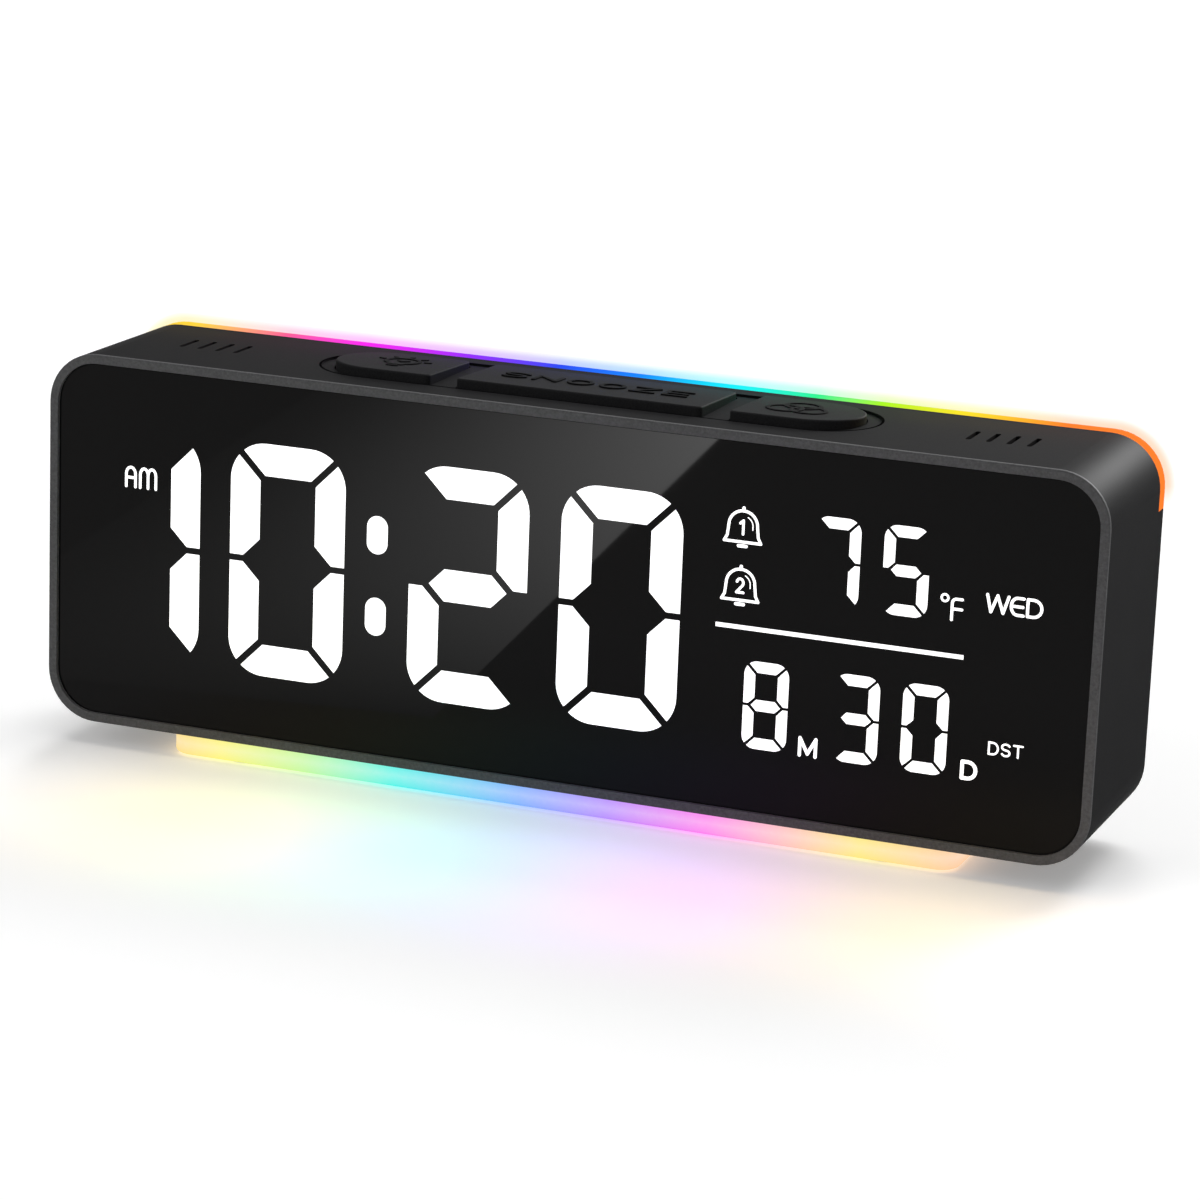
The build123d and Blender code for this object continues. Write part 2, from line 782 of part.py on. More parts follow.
# Flat cable from the button board down to the main board
with BuildPart() as button_cable:
    cable_top = button_board_bottom - body_mid
    cable_end = front_y + main_board_front
    with BuildSketch(across(cable_x)):
        with BuildLine():
            Polyline(
                (0, cable_top),
                (0, cable_level),
                (cable_end, cable_level),
                (cable_end, cable_level + cable_thickness),
                (cable_thickness, cable_level + cable_thickness),
                (cable_thickness, cable_top),
                close=True,
            )
        make_face()
    extrude(amount=cable_width / 2, both=True)
button_cable.part.label = "button_cable"
export_step(button_cable.part, "parts/button_cable.step")

# Buzzer in its collar under the right vents
with BuildPart() as buzzer:
    add_posts(level(ceiling - buzzer_rim_height), [(vent_x, 0)], buzzer_radius, -buzzer_height)
    with BuildSketch(level(ceiling - buzzer_rim_height)):
        with Locations((vent_x, 0)):
            Circle(buzzer_radius)
            Circle(buzzer_radius - buzzer_rim_width, mode=Mode.SUBTRACT)
    extrude(amount=buzzer_rim_height)
buzzer.part.label = "buzzer"
export_step(buzzer.part, "parts/buzzer.step")

# Temperature sensor on a small board under the left vents
with BuildPart() as temperature_sensor:
    sensor_level = ceiling - sensor_post_height
    with BuildSketch(level(sensor_level)):
        with Locations((-vent_x, 0)):
            Rectangle(2 * (sensor_post_spread + sensor_post_radius), sensor_board_width)
    extrude(amount=-sensor_board_thickness)
    with Locations((-vent_x, 0, sensor_level + sensor_bead_radius / 2)):
        Sphere(sensor_bead_radius)
temperature_sensor.part.label = "temperature_sensor"
export_step(temperature_sensor.part, "parts/temperature_sensor.step")

# Top light guide: a flush band with a leg lapped under the wall
with BuildPart() as top_light_guide:
    with BuildSketch(facing(guide_front)):
        arch(0, wall)
    extrude(amount=-guide_width)
    with BuildSketch(facing(guide_front - lap_length + lap_clearance)):
        arch(wall - lap_depth + lap_clearance, guide_leg_inset)
    extrude(amount=-(lap_length - lap_clearance))
top_light_guide.part.label = "top_light_guide"
export_step(top_light_guide.part, "parts/top_light_guide.step")

# Lamps of the light guide, on a strip along the cover's shelf
strip_length = body_width - 2 * strip_margin
strip_depth = cover_front - strip_width / 2
with BuildPart() as top_led_strip:
    strip_y = front_y + strip_depth
    with BuildSketch(level(body_mid + shelf_top)):
        with Locations((0, strip_y)):
            Rectangle(strip_length, strip_width)
    extrude(amount=strip_thickness)
    with BuildSketch(level(body_mid + shelf_top + strip_thickness)):
        with Locations((0, strip_y)):
            with GridLocations(strip_length / strip_led_count, 0, strip_led_count, 1):
                Rectangle(strip_led_size, strip_led_size)
    extrude(amount=strip_led_height)
top_led_strip.part.label = "top_led_strip"
export_step(top_led_strip.part, "parts/top_led_strip.step")

# Base light bar: a clear tray that the clock stands on
with BuildPart() as base_light_bar:
    with BuildSketch(level(foot_proud)):
        with Locations((0, bar_y)):
            RectangleRounded(bar_length, bar_depth, bar_corner)
    extrude(amount=base_height - foot_proud)
    fillet(base_light_bar.faces().sort_by(Axis.Z)[0].edges(), bar_edge_radius)
    with BuildSketch(level(bar_floor_top)):
        with Locations((0, bar_y)):
            RectangleRounded(bar_length - 2 * bar_wall, bar_depth - 2 * bar_wall, bar_corner - bar_wall)
        with Locations(*foot_points):
            Circle(bar_post_radius, mode=Mode.SUBTRACT)
    extrude(amount=base_height - bar_floor_top, mode=Mode.SUBTRACT)
    cut_holes(level(foot_proud), foot_points, foot_radius + foot_clearance, foot_pocket_depth)
    cut_holes(level(foot_proud), foot_points, head_hole_radius, base_head_top - foot_proud)
    cut_holes(level(foot_proud), foot_points, pilot_radius, base_height - foot_proud)
base_light_bar.part.label = "base_light_bar"
export_step(base_light_bar.part, "parts/base_light_bar.step")

# Lamps of the base bar, on a strip under the housing's floor
with BuildPart() as base_led_strip:
    with BuildSketch(level(body_bottom)):
        with Locations((0, bar_y)):
            Rectangle(base_strip_length, base_strip_width)
    extrude(amount=-base_strip_thickness)
    with BuildSketch(level(body_bottom - base_strip_thickness)):
        with Locations((0, bar_y)):
            with GridLocations(base_strip_length / strip_led_count, 0, strip_led_count, 1):
                Rectangle(strip_led_size, strip_led_size)
    extrude(amount=-strip_led_height)
base_led_strip.part.label = "base_led_strip"
export_step(base_led_strip.part, "parts/base_led_strip.step")

with BuildPart() as base_screws:
    screws(level(base_head_top), foot_points, body_bottom - base_head_top, heads_out=False)
base_screws.part.label = "base_screws"
export_step(base_screws.part, "parts/base_screws.step")

# Rubber feet over the base screws
with BuildPart() as rubber_feet:
    add_posts(level(0), foot_points, foot_radius, foot_ceiling)
    fillet(rubber_feet.faces().group_by(Axis.Z)[0].edges(), foot_edge_radius)
rubber_feet.part.label = "rubber_feet"
export_step(rubber_feet.part, "parts/rubber_feet.step")

# Rear cover: carries the main board, the setting keys, the top lamps and the battery bay
rear_key_points = [(x, rear_key_level) for x in rear_key_x.values()]
with BuildPart() as rear_cover:
    with BuildSketch(facing(cover_front)):
        body_outline(wall + cover_clearance)
    extrude(amount=-cover_thickness)
    with BuildSketch(facing(cover_front)):
        with Locations((battery_x, 0)):
            Rectangle(bay_outer_length, door_height + 2 * (door_gap + bay_wall))
    extrude(amount=cover_front - bay_bottom + bay_floor)
    with BuildSketch(facing(cover_back)):
        with Locations((battery_x, 0)):
            Rectangle(bay_length, bay_height)
    extrude(amount=cover_back - bay_bottom, mode=Mode.SUBTRACT)
    with BuildSketch(facing(cover_back)):
        with Locations((battery_x, 0)):
            Rectangle(door_length + 2 * door_gap, door_height + 2 * door_gap)
    extrude(amount=cover_back - door_seat, mode=Mode.SUBTRACT)
    with BuildSketch(across(battery_x)):
        with Locations((hinge_y, hinge_level)):
            Circle(hinge_pin_radius + hinge_pin_clearance)
    extrude(amount=door_length / 2 + hinge_pin_reach + hinge_pin_end_gap, both=True, mode=Mode.SUBTRACT)
    cut_holes(facing(cover_back), [(battery_x, door_height / 2)], finger_notch_radius, finger_notch_depth)
    add_posts(facing(cover_front), standoff_points, standoff_radius, standoff_length)
    cut_holes(facing(main_board_back), standoff_points, pilot_radius, -pilot_depth)
    with BuildSketch(facing(cover_front)):
        with Locations((0, shelf_top - shelf_thickness / 2)):
            Rectangle(strip_length, shelf_thickness)
    extrude(amount=strip_width)
    cut_holes(facing(cover_back), rear_screw_points, pilot_radius, cover_thickness)
    cut_holes(facing(cover_back), rear_screw_points, head_hole_radius, counterbore_depth)
    cut_holes(facing(cover_back), rear_key_points, rear_key_radius + rear_key_clearance, cover_thickness)
    with BuildSketch(facing(cover_back)):
        with Locations((socket_x, socket_level)):
            SlotOverall(socket_width + 2 * socket_clearance, socket_height + 2 * socket_clearance)
    extrude(amount=cover_thickness, mode=Mode.SUBTRACT)
rear_cover.part.label = "rear_cover"
export_step(rear_cover.part, "parts/rear_cover.step")

with BuildPart() as rear_screws:
    clamped = cover_thickness - counterbore_depth
    screws(facing(cover_back - counterbore_depth), rear_screw_points, clamped, heads_out=False)
rear_screws.part.label = "rear_screws"
export_step(rear_screws.part, "parts/rear_screws.step")

# Main board on the cover's standoffs, with its chip and the connector to the display board
with BuildPart() as main_board:
    with BuildSketch(facing(main_board_front)):
        with Locations((main_board_x, main_board_level)):
            Rectangle(main_board_width, main_board_height)
        with Locations(*standoff_points):
            Circle(pilot_radius, mode=Mode.SUBTRACT)
    extrude(amount=-board_thickness)
main_board.part.label = "main_board"
export_step(main_board.part, "parts/main_board.step")

with BuildPart() as main_board_screws:
    screws(facing(main_board_front), standoff_points, board_thickness, heads_out=True)
main_board_screws.part.label = "main_board_screws"
export_step(main_board_screws.part, "parts/main_board_screws.step")

with BuildPart() as main_chip:
    with BuildSketch(facing(main_board_front)):
        with Locations((main_chip_x, main_chip_level)):
            Rectangle(main_chip_size, main_chip_size)
    extrude(amount=chip_height)
    chamfer(main_chip.faces().sort_by(Axis.Y)[0].edges(), chip_edge)
main_chip.part.label = "main_chip"
export_step(main_chip.part, "parts/main_chip.step")

with BuildPart() as board_connector:
    with BuildSketch(facing(display_board_back)):
        with Locations((connector_x, connector_level)):
            Rectangle(connector_length, connector_width)
    extrude(amount=-(main_board_front - display_board_back))
board_connector.part.label = "board_connector"
export_step(board_connector.part, "parts/board_connector.step")

# Power socket: a metal shell round a tongue, its mouth flush with the cover
with BuildPart() as power_socket:
    with BuildSketch(facing(main_board_back)):
        with Locations((socket_x, socket_level)):
            SlotOverall(socket_width, socket_height)
    extrude(amount=-(cover_back - main_board_back))
    with BuildSketch(facing(cover_back)):
        with Locations((socket_x, socket_level)):
            SlotOverall(socket_width - 2 * socket_skin, socket_height - 2 * socket_skin)
    extrude(amount=socket_depth, mode=Mode.SUBTRACT)
    with BuildSketch(facing(cover_back - socket_depth)):
        with Locations((socket_x, socket_level)):
            Rectangle(socket_tongue_width, socket_tongue_thickness)
    extrude(amount=-socket_tongue_length)
power_socket.part.label = "power_socket"
export_step(power_socket.part, "parts/power_socket.step")

# Push switches of the setting keys, on the rear of the main board
switch_back = main_board_back + switch_height
plunger_back = switch_back + plunger_proud
with BuildPart() as rear_switches:
    with BuildSketch(facing(main_board_back)):
        with Locations(*rear_key_points):
            Rectangle(switch_size, switch_size)
    extrude(amount=-switch_height)
    cut_holes(facing(switch_back), rear_key_points, bore_radius, bore_depth)
rear_switches.part.label = "rear_switches"
export_step(rear_switches.part, "parts/rear_switches.step")

# Setting keys: a round cap through the cover, a flange behind it and a stem to the plunger
rear_flange_back = cover_front - rear_key_flange_gap
rear_flange_front = rear_flange_back - rear_key_flange_thickness
rear_key_length = cover_back + rear_key_rise - rear_flange_front
stem_length = rear_flange_front - plunger_back
for name, x in rear_key_x.items():
    key_point = [(x, rear_key_level)]
    with BuildPart() as rear_key:
        add_posts(facing(cover_back + rear_key_rise), key_point, rear_key_radius, rear_key_length)
        fillet(rear_key.faces().sort_by(Axis.Y)[-1].edges(), rear_key_edge_radius)
        add_posts(facing(rear_flange_front), key_point, rear_key_flange_radius, -rear_key_flange_thickness)
        add_posts(facing(rear_flange_front), key_point, rear_key_stem_radius, stem_length)
    rear_key.part.label = f"{name}_button"
    export_step(rear_key.part, f"parts/{name}_button.step")

    with BuildPart() as rear_plunger:
        add_posts(facing(plunger_back), key_point, plunger_radius, plunger_proud + plunger_hidden)
    rear_plunger.part.label = f"{name}_plunger"
    export_step(rear_plunger.part, f"parts/{name}_plunger.step")

# Battery door: its lower edge is round about the hinge, with a pin at each end
with BuildPart() as battery_door:
    with BuildSketch(across(battery_x)):
        with Locations((hinge_y, hinge_level)):
            Circle(door_thickness / 2)
        leaf_height = door_height - door_thickness / 2
        with Locations((hinge_y, hinge_level + leaf_height / 2)):
            Rectangle(door_thickness, leaf_height)
    extrude(amount=door_length / 2, both=True)
    with BuildSketch(across(battery_x)):
        with Locations((hinge_y, hinge_level)):
            Circle(hinge_pin_radius)
    extrude(amount=door_length / 2 + hinge_pin_reach, both=True)
    with BuildSketch(facing(cover_back)):
        with Locations((battery_x, door_height / 2 - grip_rib_drop)):
            with GridLocations(0, grip_rib_spacing, 1, grip_rib_count):
                SlotOverall(grip_rib_length, grip_rib_width)
    extrude(amount=-grip_rib_height)
battery_door.part.label = "battery_door"
export_step(battery_door.part, "parts/battery_door.step")

# Two backup cells side by side, turned opposite ways
cell_y = front_y + cell_axis_depth
cone_end = bay_length / 2 - contact_thickness - contact_cone_length
with BuildPart() as battery_cells:
    for turn in (-1, 1):
        flat_end = battery_x - turn * cone_end
        with BuildSketch(across(flat_end)):
            with Locations((cell_y, turn * cell_level)):
                Circle(cell_radius)
        extrude(amount=turn * cell_length)
        with BuildSketch(across(flat_end + turn * cell_length)):
            with Locations((cell_y, turn * cell_level)):
                Circle(cell_nub_radius)
        extrude(amount=turn * cell_nub_length)
battery_cells.part.label = "battery_cells"
export_step(battery_cells.part, "parts/battery_cells.step")

# Battery contacts: a plate and cone at each flat end, a plate and bump at each nub
with BuildPart() as battery_contacts:
    for turn in (-1, 1):
        cone_plate = battery_x - turn * bay_length / 2
        bump_plate = battery_x + turn * bay_length / 2
        for plate, inward in ((cone_plate, turn), (bump_plate, -turn)):
            with BuildSketch(across(plate)):
                with Locations((cell_y, turn * cell_level)):
                    Rectangle(contact_size, contact_size)
            extrude(amount=inward * contact_thickness)
        cone_base = across(cone_plate + turn * contact_thickness)
        with BuildSketch(cone_base):
            with Locations((cell_y, turn * cell_level)):
                Circle(contact_cone_base)
        with BuildSketch(cone_base.offset(turn * contact_cone_length)):
            with Locations((cell_y, turn * cell_level)):
                Circle(contact_cone_tip)
        loft()
        with BuildSketch(across(bump_plate - turn * contact_thickness)):
            with Locations((cell_y, turn * cell_level)):
                Rectangle(contact_bump_size, contact_bump_size)
        extrude(amount=-turn * contact_bump_length)
battery_contacts.part.label = "battery_contacts"
export_step(battery_contacts.part, "parts/battery_contacts.step")
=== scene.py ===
"""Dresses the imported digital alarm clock: its finishes, lit legends, key marks, rear print and stage."""

import math

import bpy
from bpy.props import FloatProperty, FloatVectorProperty, IntProperty, PointerProperty
from bpy.types import Operator, Panel, PropertyGroup
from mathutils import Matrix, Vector


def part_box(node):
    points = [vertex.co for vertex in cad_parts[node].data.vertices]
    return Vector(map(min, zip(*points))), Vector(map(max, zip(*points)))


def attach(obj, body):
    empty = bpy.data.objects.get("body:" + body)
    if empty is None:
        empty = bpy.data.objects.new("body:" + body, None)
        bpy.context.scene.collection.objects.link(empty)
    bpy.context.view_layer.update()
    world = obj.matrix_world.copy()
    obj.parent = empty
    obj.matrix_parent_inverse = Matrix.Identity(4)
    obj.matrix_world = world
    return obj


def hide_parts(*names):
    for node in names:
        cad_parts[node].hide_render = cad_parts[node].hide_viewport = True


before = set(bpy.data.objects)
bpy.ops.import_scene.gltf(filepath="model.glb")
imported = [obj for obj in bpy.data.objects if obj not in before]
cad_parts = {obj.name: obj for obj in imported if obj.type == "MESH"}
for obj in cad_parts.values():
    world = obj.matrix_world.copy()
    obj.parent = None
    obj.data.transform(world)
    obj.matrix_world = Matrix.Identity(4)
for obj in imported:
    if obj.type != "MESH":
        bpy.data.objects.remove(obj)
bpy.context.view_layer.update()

bl_info = {
    "name": "Digital Alarm Clock",
    "version": (1, 0, 0),
    "blender": (4, 5, 0),
    "location": "View3D > Sidebar > Clock",
    "description": "Finishes, legends and stage of a long alarm clock with rainbow lights",
    "category": "Object",
}

MM = 0.001
ORIGIN = (0, 0, 0)
FACING_FRONT = (math.radians(90), 0, 0)
FACING_REAR = (math.radians(90), 0, math.radians(180))

# Turn up to which edges look smooth, step of a round stroke end, and least turn that is a corner
SMOOTH_ANGLE = math.radians(35)
ROUND_STEP = math.radians(20)
STRAIGHT = 1e-6
# Least upward part of the normal of a face that counts as a top
UPWARD = 0.99

# Faces of the model that the new pieces are set on
PANEL_LOW, PANEL_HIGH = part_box("mirror_panel")
FRONT_MIDDLE = (PANEL_LOW.z + PANEL_HIGH.z) / 2
COVER_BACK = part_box("power_socket")[1].y
BAR_LOW, BAR_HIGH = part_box("base_light_bar")
GUIDE_LOW, GUIDE_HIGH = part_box("top_light_guide")
CELLS_LOW, CELLS_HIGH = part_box("battery_cells")
HOUSING_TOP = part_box("main_housing")[1].z

# Radius of the case's corners, and radius and half length of the key well on top, in millimetres
CASE_RADIUS = 9.5
WELL_RADIUS = 10.9
WELL_REACH = 53.0

TOP_KEYS = ("light", "snooze", "colour")
REAR_WORDS = {"mode": "MODE", "up": "UP", "down": "DOWN", "alarm": "ALARM", "brightness": "DIM"}

# Where each colour of the light guide and of the base light bar lies, as a share of its length
GUIDE_HUES = {
    "amber": 0.06, "rose": 0.155, "magenta": 0.235, "violet": 0.345, "blue": 0.43, "azure": 0.51,
    "cyan": 0.6, "green": 0.68, "lime": 0.74, "yellow": 0.82, "orange": 0.91,
}
BAR_HUES = {
    "peach": 0.0, "lemon": 0.07, "lime": 0.18, "aqua": 0.3, "sky": 0.46, "lilac": 0.575,
    "pink": 0.695, "butter": 0.885, "cream": 1.0,
}


def linear(code):
    """Linear colour of an sRGB hex value."""
    channels = [int(code[i:i + 2], 16) / 255 for i in (1, 3, 5)]
    return tuple(c / 12.92 if c <= 0.04045 else ((c + 0.055) / 1.055) ** 2.4 for c in channels)


def colour(name, description, code):
    """A colour that a user can change, given as an sRGB hex value."""
    return FloatVectorProperty(
        name=name, description=description, subtype="COLOR", size=3, min=0, max=1, default=linear(code)
    )


def length(name, description, millimetres):
    """A length that a user can change, given in millimetres."""
    return FloatProperty(
        name=name, description=description, unit="LENGTH", precision=5, default=millimetres * MM
    )


def lengths(name, description, *millimetres):
    """Lengths that a user can change together, given in millimetres."""
    return FloatVectorProperty(
        name=name,
        description=description,
        unit="LENGTH",
        precision=5,
        size=len(millimetres),
        default=[value * MM for value in millimetres],
    )


def letters_at(name, *millimetres):
    """Place and size of a row of letters that a user can change, given in millimetres."""
    return lengths(name, f"Left end, base line, height and stroke of {name.lower()}", *millimetres)


def number(name, description, value, unit="NONE"):
    """A plain number that a user can change."""
    return FloatProperty(name=name, description=description, unit=unit, default=value)


class ClockColours(PropertyGroup):
    """Colours of the clock's finishes."""

    rim: colour("Rim", "Grey plastic of the front frame", "#555556")
    shell: colour("Shell", "Black plastic of the case and its rear cover", "#171718")
    key: colour("Keys", "Black plastic of the keys", "#272728")
    # darker than the keys: painted shade for the shaded sides of the raised marks
    key_mark: colour("Key marks", "Smooth black plastic of the marks on the top keys", "#141415")
    # painted shadow: the black of a flat line laid where the gap round the key well is in shade
    groove: colour("Groove", "Deep black of the line round the key well", "#0A0A0B")
    glass: colour("Panel", "Smoked acrylic of the front panel", "#0B0A0A")
    lit: colour("Lit numerals", "White of the lit numerals and legends", "#FFFFFF")
    print_ink: colour("Rear print", "Ink of the words on the rear cover", "#B9BBBD")
    board: colour("Circuit boards", "Solder mask of the boards", "#0F5A2E")
    chip: colour("Chips", "Moulding compound of the chips", "#131314")
    switch: colour("Switches", "Nylon of the switches and the buzzer", "#17181A")
    white_moulding: colour("White mouldings", "White plastic inside the case", "#E9E8E2")
    rubber: colour("Feet", "Rubber of the feet", "#1A1A1A")
    steel: colour("Screws", "Zinc plate of the screws", "#B9BDC2")
    nickel: colour("Contacts", "Nickel plate of the contacts and the inlet", "#CFCBC2")
    jacket: colour("Cells", "Film jacket of the backup cells", "#23272D")
    jacket_band: colour("Cell bands", "Band round the raised end of each cell", "#B88A3C")
    lamp: colour("Lamps", "Lamps of the light strips", "#FFF6DC")


class GuideColours(PropertyGroup):
    """Colours of the rear light guide, from its left end to its right end."""

    amber: colour("Left end", "Yellow of the left end", "#FFD23C")
    rose: colour("Rose", "Pink that follows the left end", "#FF5A96")
    magenta: colour("Magenta", "Magenta before the violet", "#FA22F0")
    violet: colour("Violet", "Violet left of the middle", "#8E2BFA")
    blue: colour("Blue", "Blue left of the middle", "#2447F2")
    azure: colour("Azure", "Azure of the middle", "#0A86FF")
    cyan: colour("Cyan", "Cyan right of the middle", "#0AF0FF")
    green: colour("Green", "Green before the yellow", "#2CF08C")
    lime: colour("Lime", "Yellow green before the yellow", "#A6F51E")
    yellow: colour("Yellow", "Yellow near the right end", "#FFDE28")
    orange: colour("Right end", "Orange of the right end", "#FF7F2A")


class BarColours(PropertyGroup):
    """Colours of the base light bar, from its left end to its right end."""

    peach: colour("Left end", "Pale orange of the left end", "#FFDA8C")
    lemon: colour("Lemon", "Yellow that follows the left end", "#FFF67C")
    lime: colour("Lime", "Pale green before the cyan", "#C8FA9E")
    aqua: colour("Aqua", "Cyan left of the middle", "#50F5E8")
    sky: colour("Sky", "Pale blue of the middle", "#7CB2FF")
    lilac: colour("Lilac", "Lilac right of the middle", "#B88CFF")
    pink: colour("Pink", "Pink before the yellow", "#FF80F0")
    butter: colour("Butter", "Yellow near the right end", "#FFEA7E")
    cream: colour("Right end", "Cream of the right end", "#FFCDA0")


class LegendSizes(PropertyGroup):
    """Sizes and places of the lit legends, from the middle of the front."""

    relief: length("Relief", "How far a lit legend stands out of the panel", 0.03)
    sunk: length("Sunk", "How deep a lit legend goes into the panel", 0.02)
    morning: letters_at("Morning", -84.75, 10.64, 4.12, 0.52)
    degree: letters_at("Degree", 71.1, 6.14, 4.2, 0.5)
    degree_radius: length("Degree ring", "Outer radius of the degree ring", 0.8)
    degree_drop: length("Degree drop", "From the degree letter's top to the ring's middle", 0.25)
    degree_ring_stroke: length("Degree ring stroke", "Width of the ring's line", 0.4)
    weekday: letters_at("Weekday", 79.1, 8.4, 3.5, 0.52)
    month: letters_at("Month", 47.0, -21.74, 3.74, 0.6)
    day: letters_at("Day", 76.4, -21.6, 3.6, 0.66)
    summer: letters_at("Summer time", 81.1, -16.5, 2.4, 0.34)
    first_bell: lengths("First bell", "Middle of the first bell's base line", 35.0, 15.24)
    bell_drop: length("Bell drop", "How far the second bell is below the first", 10.4)
    bell_stroke: length("Bell stroke", "Width of the bell's outline", 0.5)
    figure_stroke: length("Figure stroke", "Width of the strokes of a bell's figure", 0.46)


class KeyMarkSizes(PropertyGroup):
    """Sizes of the raised marks on the top keys."""

    relief: length("Relief", "How far a drawn mark stands out of its key", 0.185)
    word_relief: length("Word relief", "How far the word stands out of its key", 0.26)
    sunk: length("Sunk", "How deep a mark goes into its key", 0.1)
    edge: length("Edge", "Rounding of a mark's edges", 0.04)
    line: length("Line", "Width of the drawn lines", 0.7)
    letter_width: length("Letter width", "Width of a letter of the word", 4.9)
    letter_height: length("Letter height", "Height of the word", 5.0)
    letter_space: length("Letter space", "Space between the letters", 1.3)
    bulb_radius: length("Bulb", "Radius of the bulb's outline", 3.1)
    bulb_rise: length("Bulb rise", "How far the bulb's middle is behind the key's", 0.7)
    ray_start: length("Ray start", "Where the rays start, from the bulb's middle", 4.2)
    ray_end: length("Ray end", "Where the rays end, from the bulb's middle", 5.0)
    ring_radius: length("Rings", "Radius of the three rings", 3.1)
    ring_spread: length("Ring spread", "How far the rings are from their middle", 2.5)
    shift: length("Shift", "How far the outer keys' marks are moved towards the middle key", 1.2)
    # width of the painted shadow line round the key well
    groove: length("Groove", "Width of the dark line round the key well", 0.42)


class RearPrintSizes(PropertyGroup):
    """Sizes of the words printed on the rear cover."""

    height: length("Height", "Height of the words", 1.9)
    gap: length("Gap", "Gap between a key and its word", 1.5)
    relief: length("Relief", "Thickness of the ink", 0.02)
    sunk: length("Sunk", "How deep the ink goes into the cover", 0.01)


class ContactSizes(PropertyGroup):
    """Sizes of the contacts that hold the backup cells."""

    plate: length("Plate", "Side of a contact plate", 8.0)
    thickness: length("Thickness", "Thickness of a contact plate", 0.5)
    corner: length("Corner", "Radius of a plate's corners", 1.2)
    dimple_margin: length("Dimple margin", "From a plate's edge to its dimple", 2.3)
    dimple: length("Dimple", "How far a dimple stands out", 0.65)
    coil_base: length("Coil base", "Radius of a spring at its plate", 3.1)
    coil_tip: length("Coil tip", "Radius of a spring at its cell", 1.9)
    coil_length: length("Coil length", "Length of a spring between its end turns", 4.35)
    wire: length("Wire", "Radius of a spring's wire", 0.3)
    turns: IntProperty(name="Turns", description="Turns of a spring", default=4)


class StageSettings(PropertyGroup):
    """Floor, camera and lamps, with the power of each lamp in watts."""

    floor: colour("Floor", "Pale floor", "#F2F2F2")
    floor_size: length("Floor size", "Side of the floor", 8000)
    floor_lift: number("Floor lift", "White that is added to the floor for the eye alone", 0.26)
    lift_start: length("Lift start", "How far from the clock that white starts to rise", 450)
    lift_end: length("Lift end", "How far from the clock the floor is all white", 1300)
    camera_place: FloatVectorProperty(
        name="Camera place",
        description="Where the camera stands",
        subtype="TRANSLATION",
        unit="LENGTH",
        precision=5,
        default=(0.26778, -0.69731, 0.23019),
    )
    camera_turn: FloatVectorProperty(
        name="Camera turn",
        description="How the camera is turned",
        subtype="EULER",
        unit="ROTATION",
        default=[math.radians(angle) for angle in (75.411, -2.1715, 21.4138)],
    )
    lens: number("Lens", "Focal length in millimetres", 128.06, "CAMERA")
    ambient: number("Ambient", "Strength of the even light", 0.3)
    key: number("Key", "Power of the lamp above and behind", 90.0, "POWER")
    fill: number("Fill", "Power of the lamp in front", 5.0, "POWER")
    strip: number("Strip", "Power of the low lamp behind, for the corner's highlight", 65.0, "POWER")
    glow: number("Glow", "Power of each lamp of the light bar's glow on the floor", 0.0022, "POWER")
    spill: number("Spill", "Power of each lamp of the light guide's glow on the case", 0.0012, "POWER")
    # halo: strength of the painted glow on the clear halo card, which is no lamp
    halo: number("Halo", "Strength of the glow in the air round the light guide", 0.6)
    halo_reach: length("Halo reach", "How far that glow reaches", 2.7)
    sheen: number("Sheen", "Strength of the card that the panel reflects", 12.5)


def set_inputs(tree, node, inputs):
    """Sets a node's inputs, or links those that are given another node's output."""
    for name, value in inputs.items():
        if isinstance(value, bpy.types.NodeSocket):
            tree.links.new(value, node.inputs[name])
        else:
            node.inputs[name].default_value = value


def add_node(tree, kind, inputs=None, output=None, **settings):
    """Adds a node with its settings and inputs, and gives its first output in use, or the named one."""
    node = tree.nodes.new(kind)
    for name, value in settings.items():
        setattr(node, name, value)
    set_inputs(tree, node, inputs or {})
    return node.outputs[output] if output else next(socket for socket in node.outputs if socket.enabled)


def new_finish(name):
    """A new material, its tree and its main shader."""
    material = bpy.data.materials.new(name)
    material.use_nodes = True
    return material, material.node_tree, material.node_tree.nodes["Principled BSDF"]


def tint(rgb, share=1.0):
    """A colour with full cover, or a lighter or darker tone of it."""
    return (*[min(1.0, c * share) for c in rgb], 1.0)


WHITE = tint((1, 1, 1))
BLACK = tint((0, 0, 0))


def clouded(tree, rgb, width, dark, light=1.0, detail=2.0):
    """A colour that drifts between two of its tones in patches of a given width, and the patches."""
    patches = add_node(tree, "ShaderNodeTexNoise", {
        "Vector": add_node(tree, "ShaderNodeTexCoord", output="Object"),
        "Scale": 1 / width,
        "Detail": detail,
    })
    tone = add_node(tree, "ShaderNodeMix", {
        "Factor": patches, "A": tint(rgb, dark), "B": tint(rgb, light),
    }, data_type="RGBA")
    return tone, patches


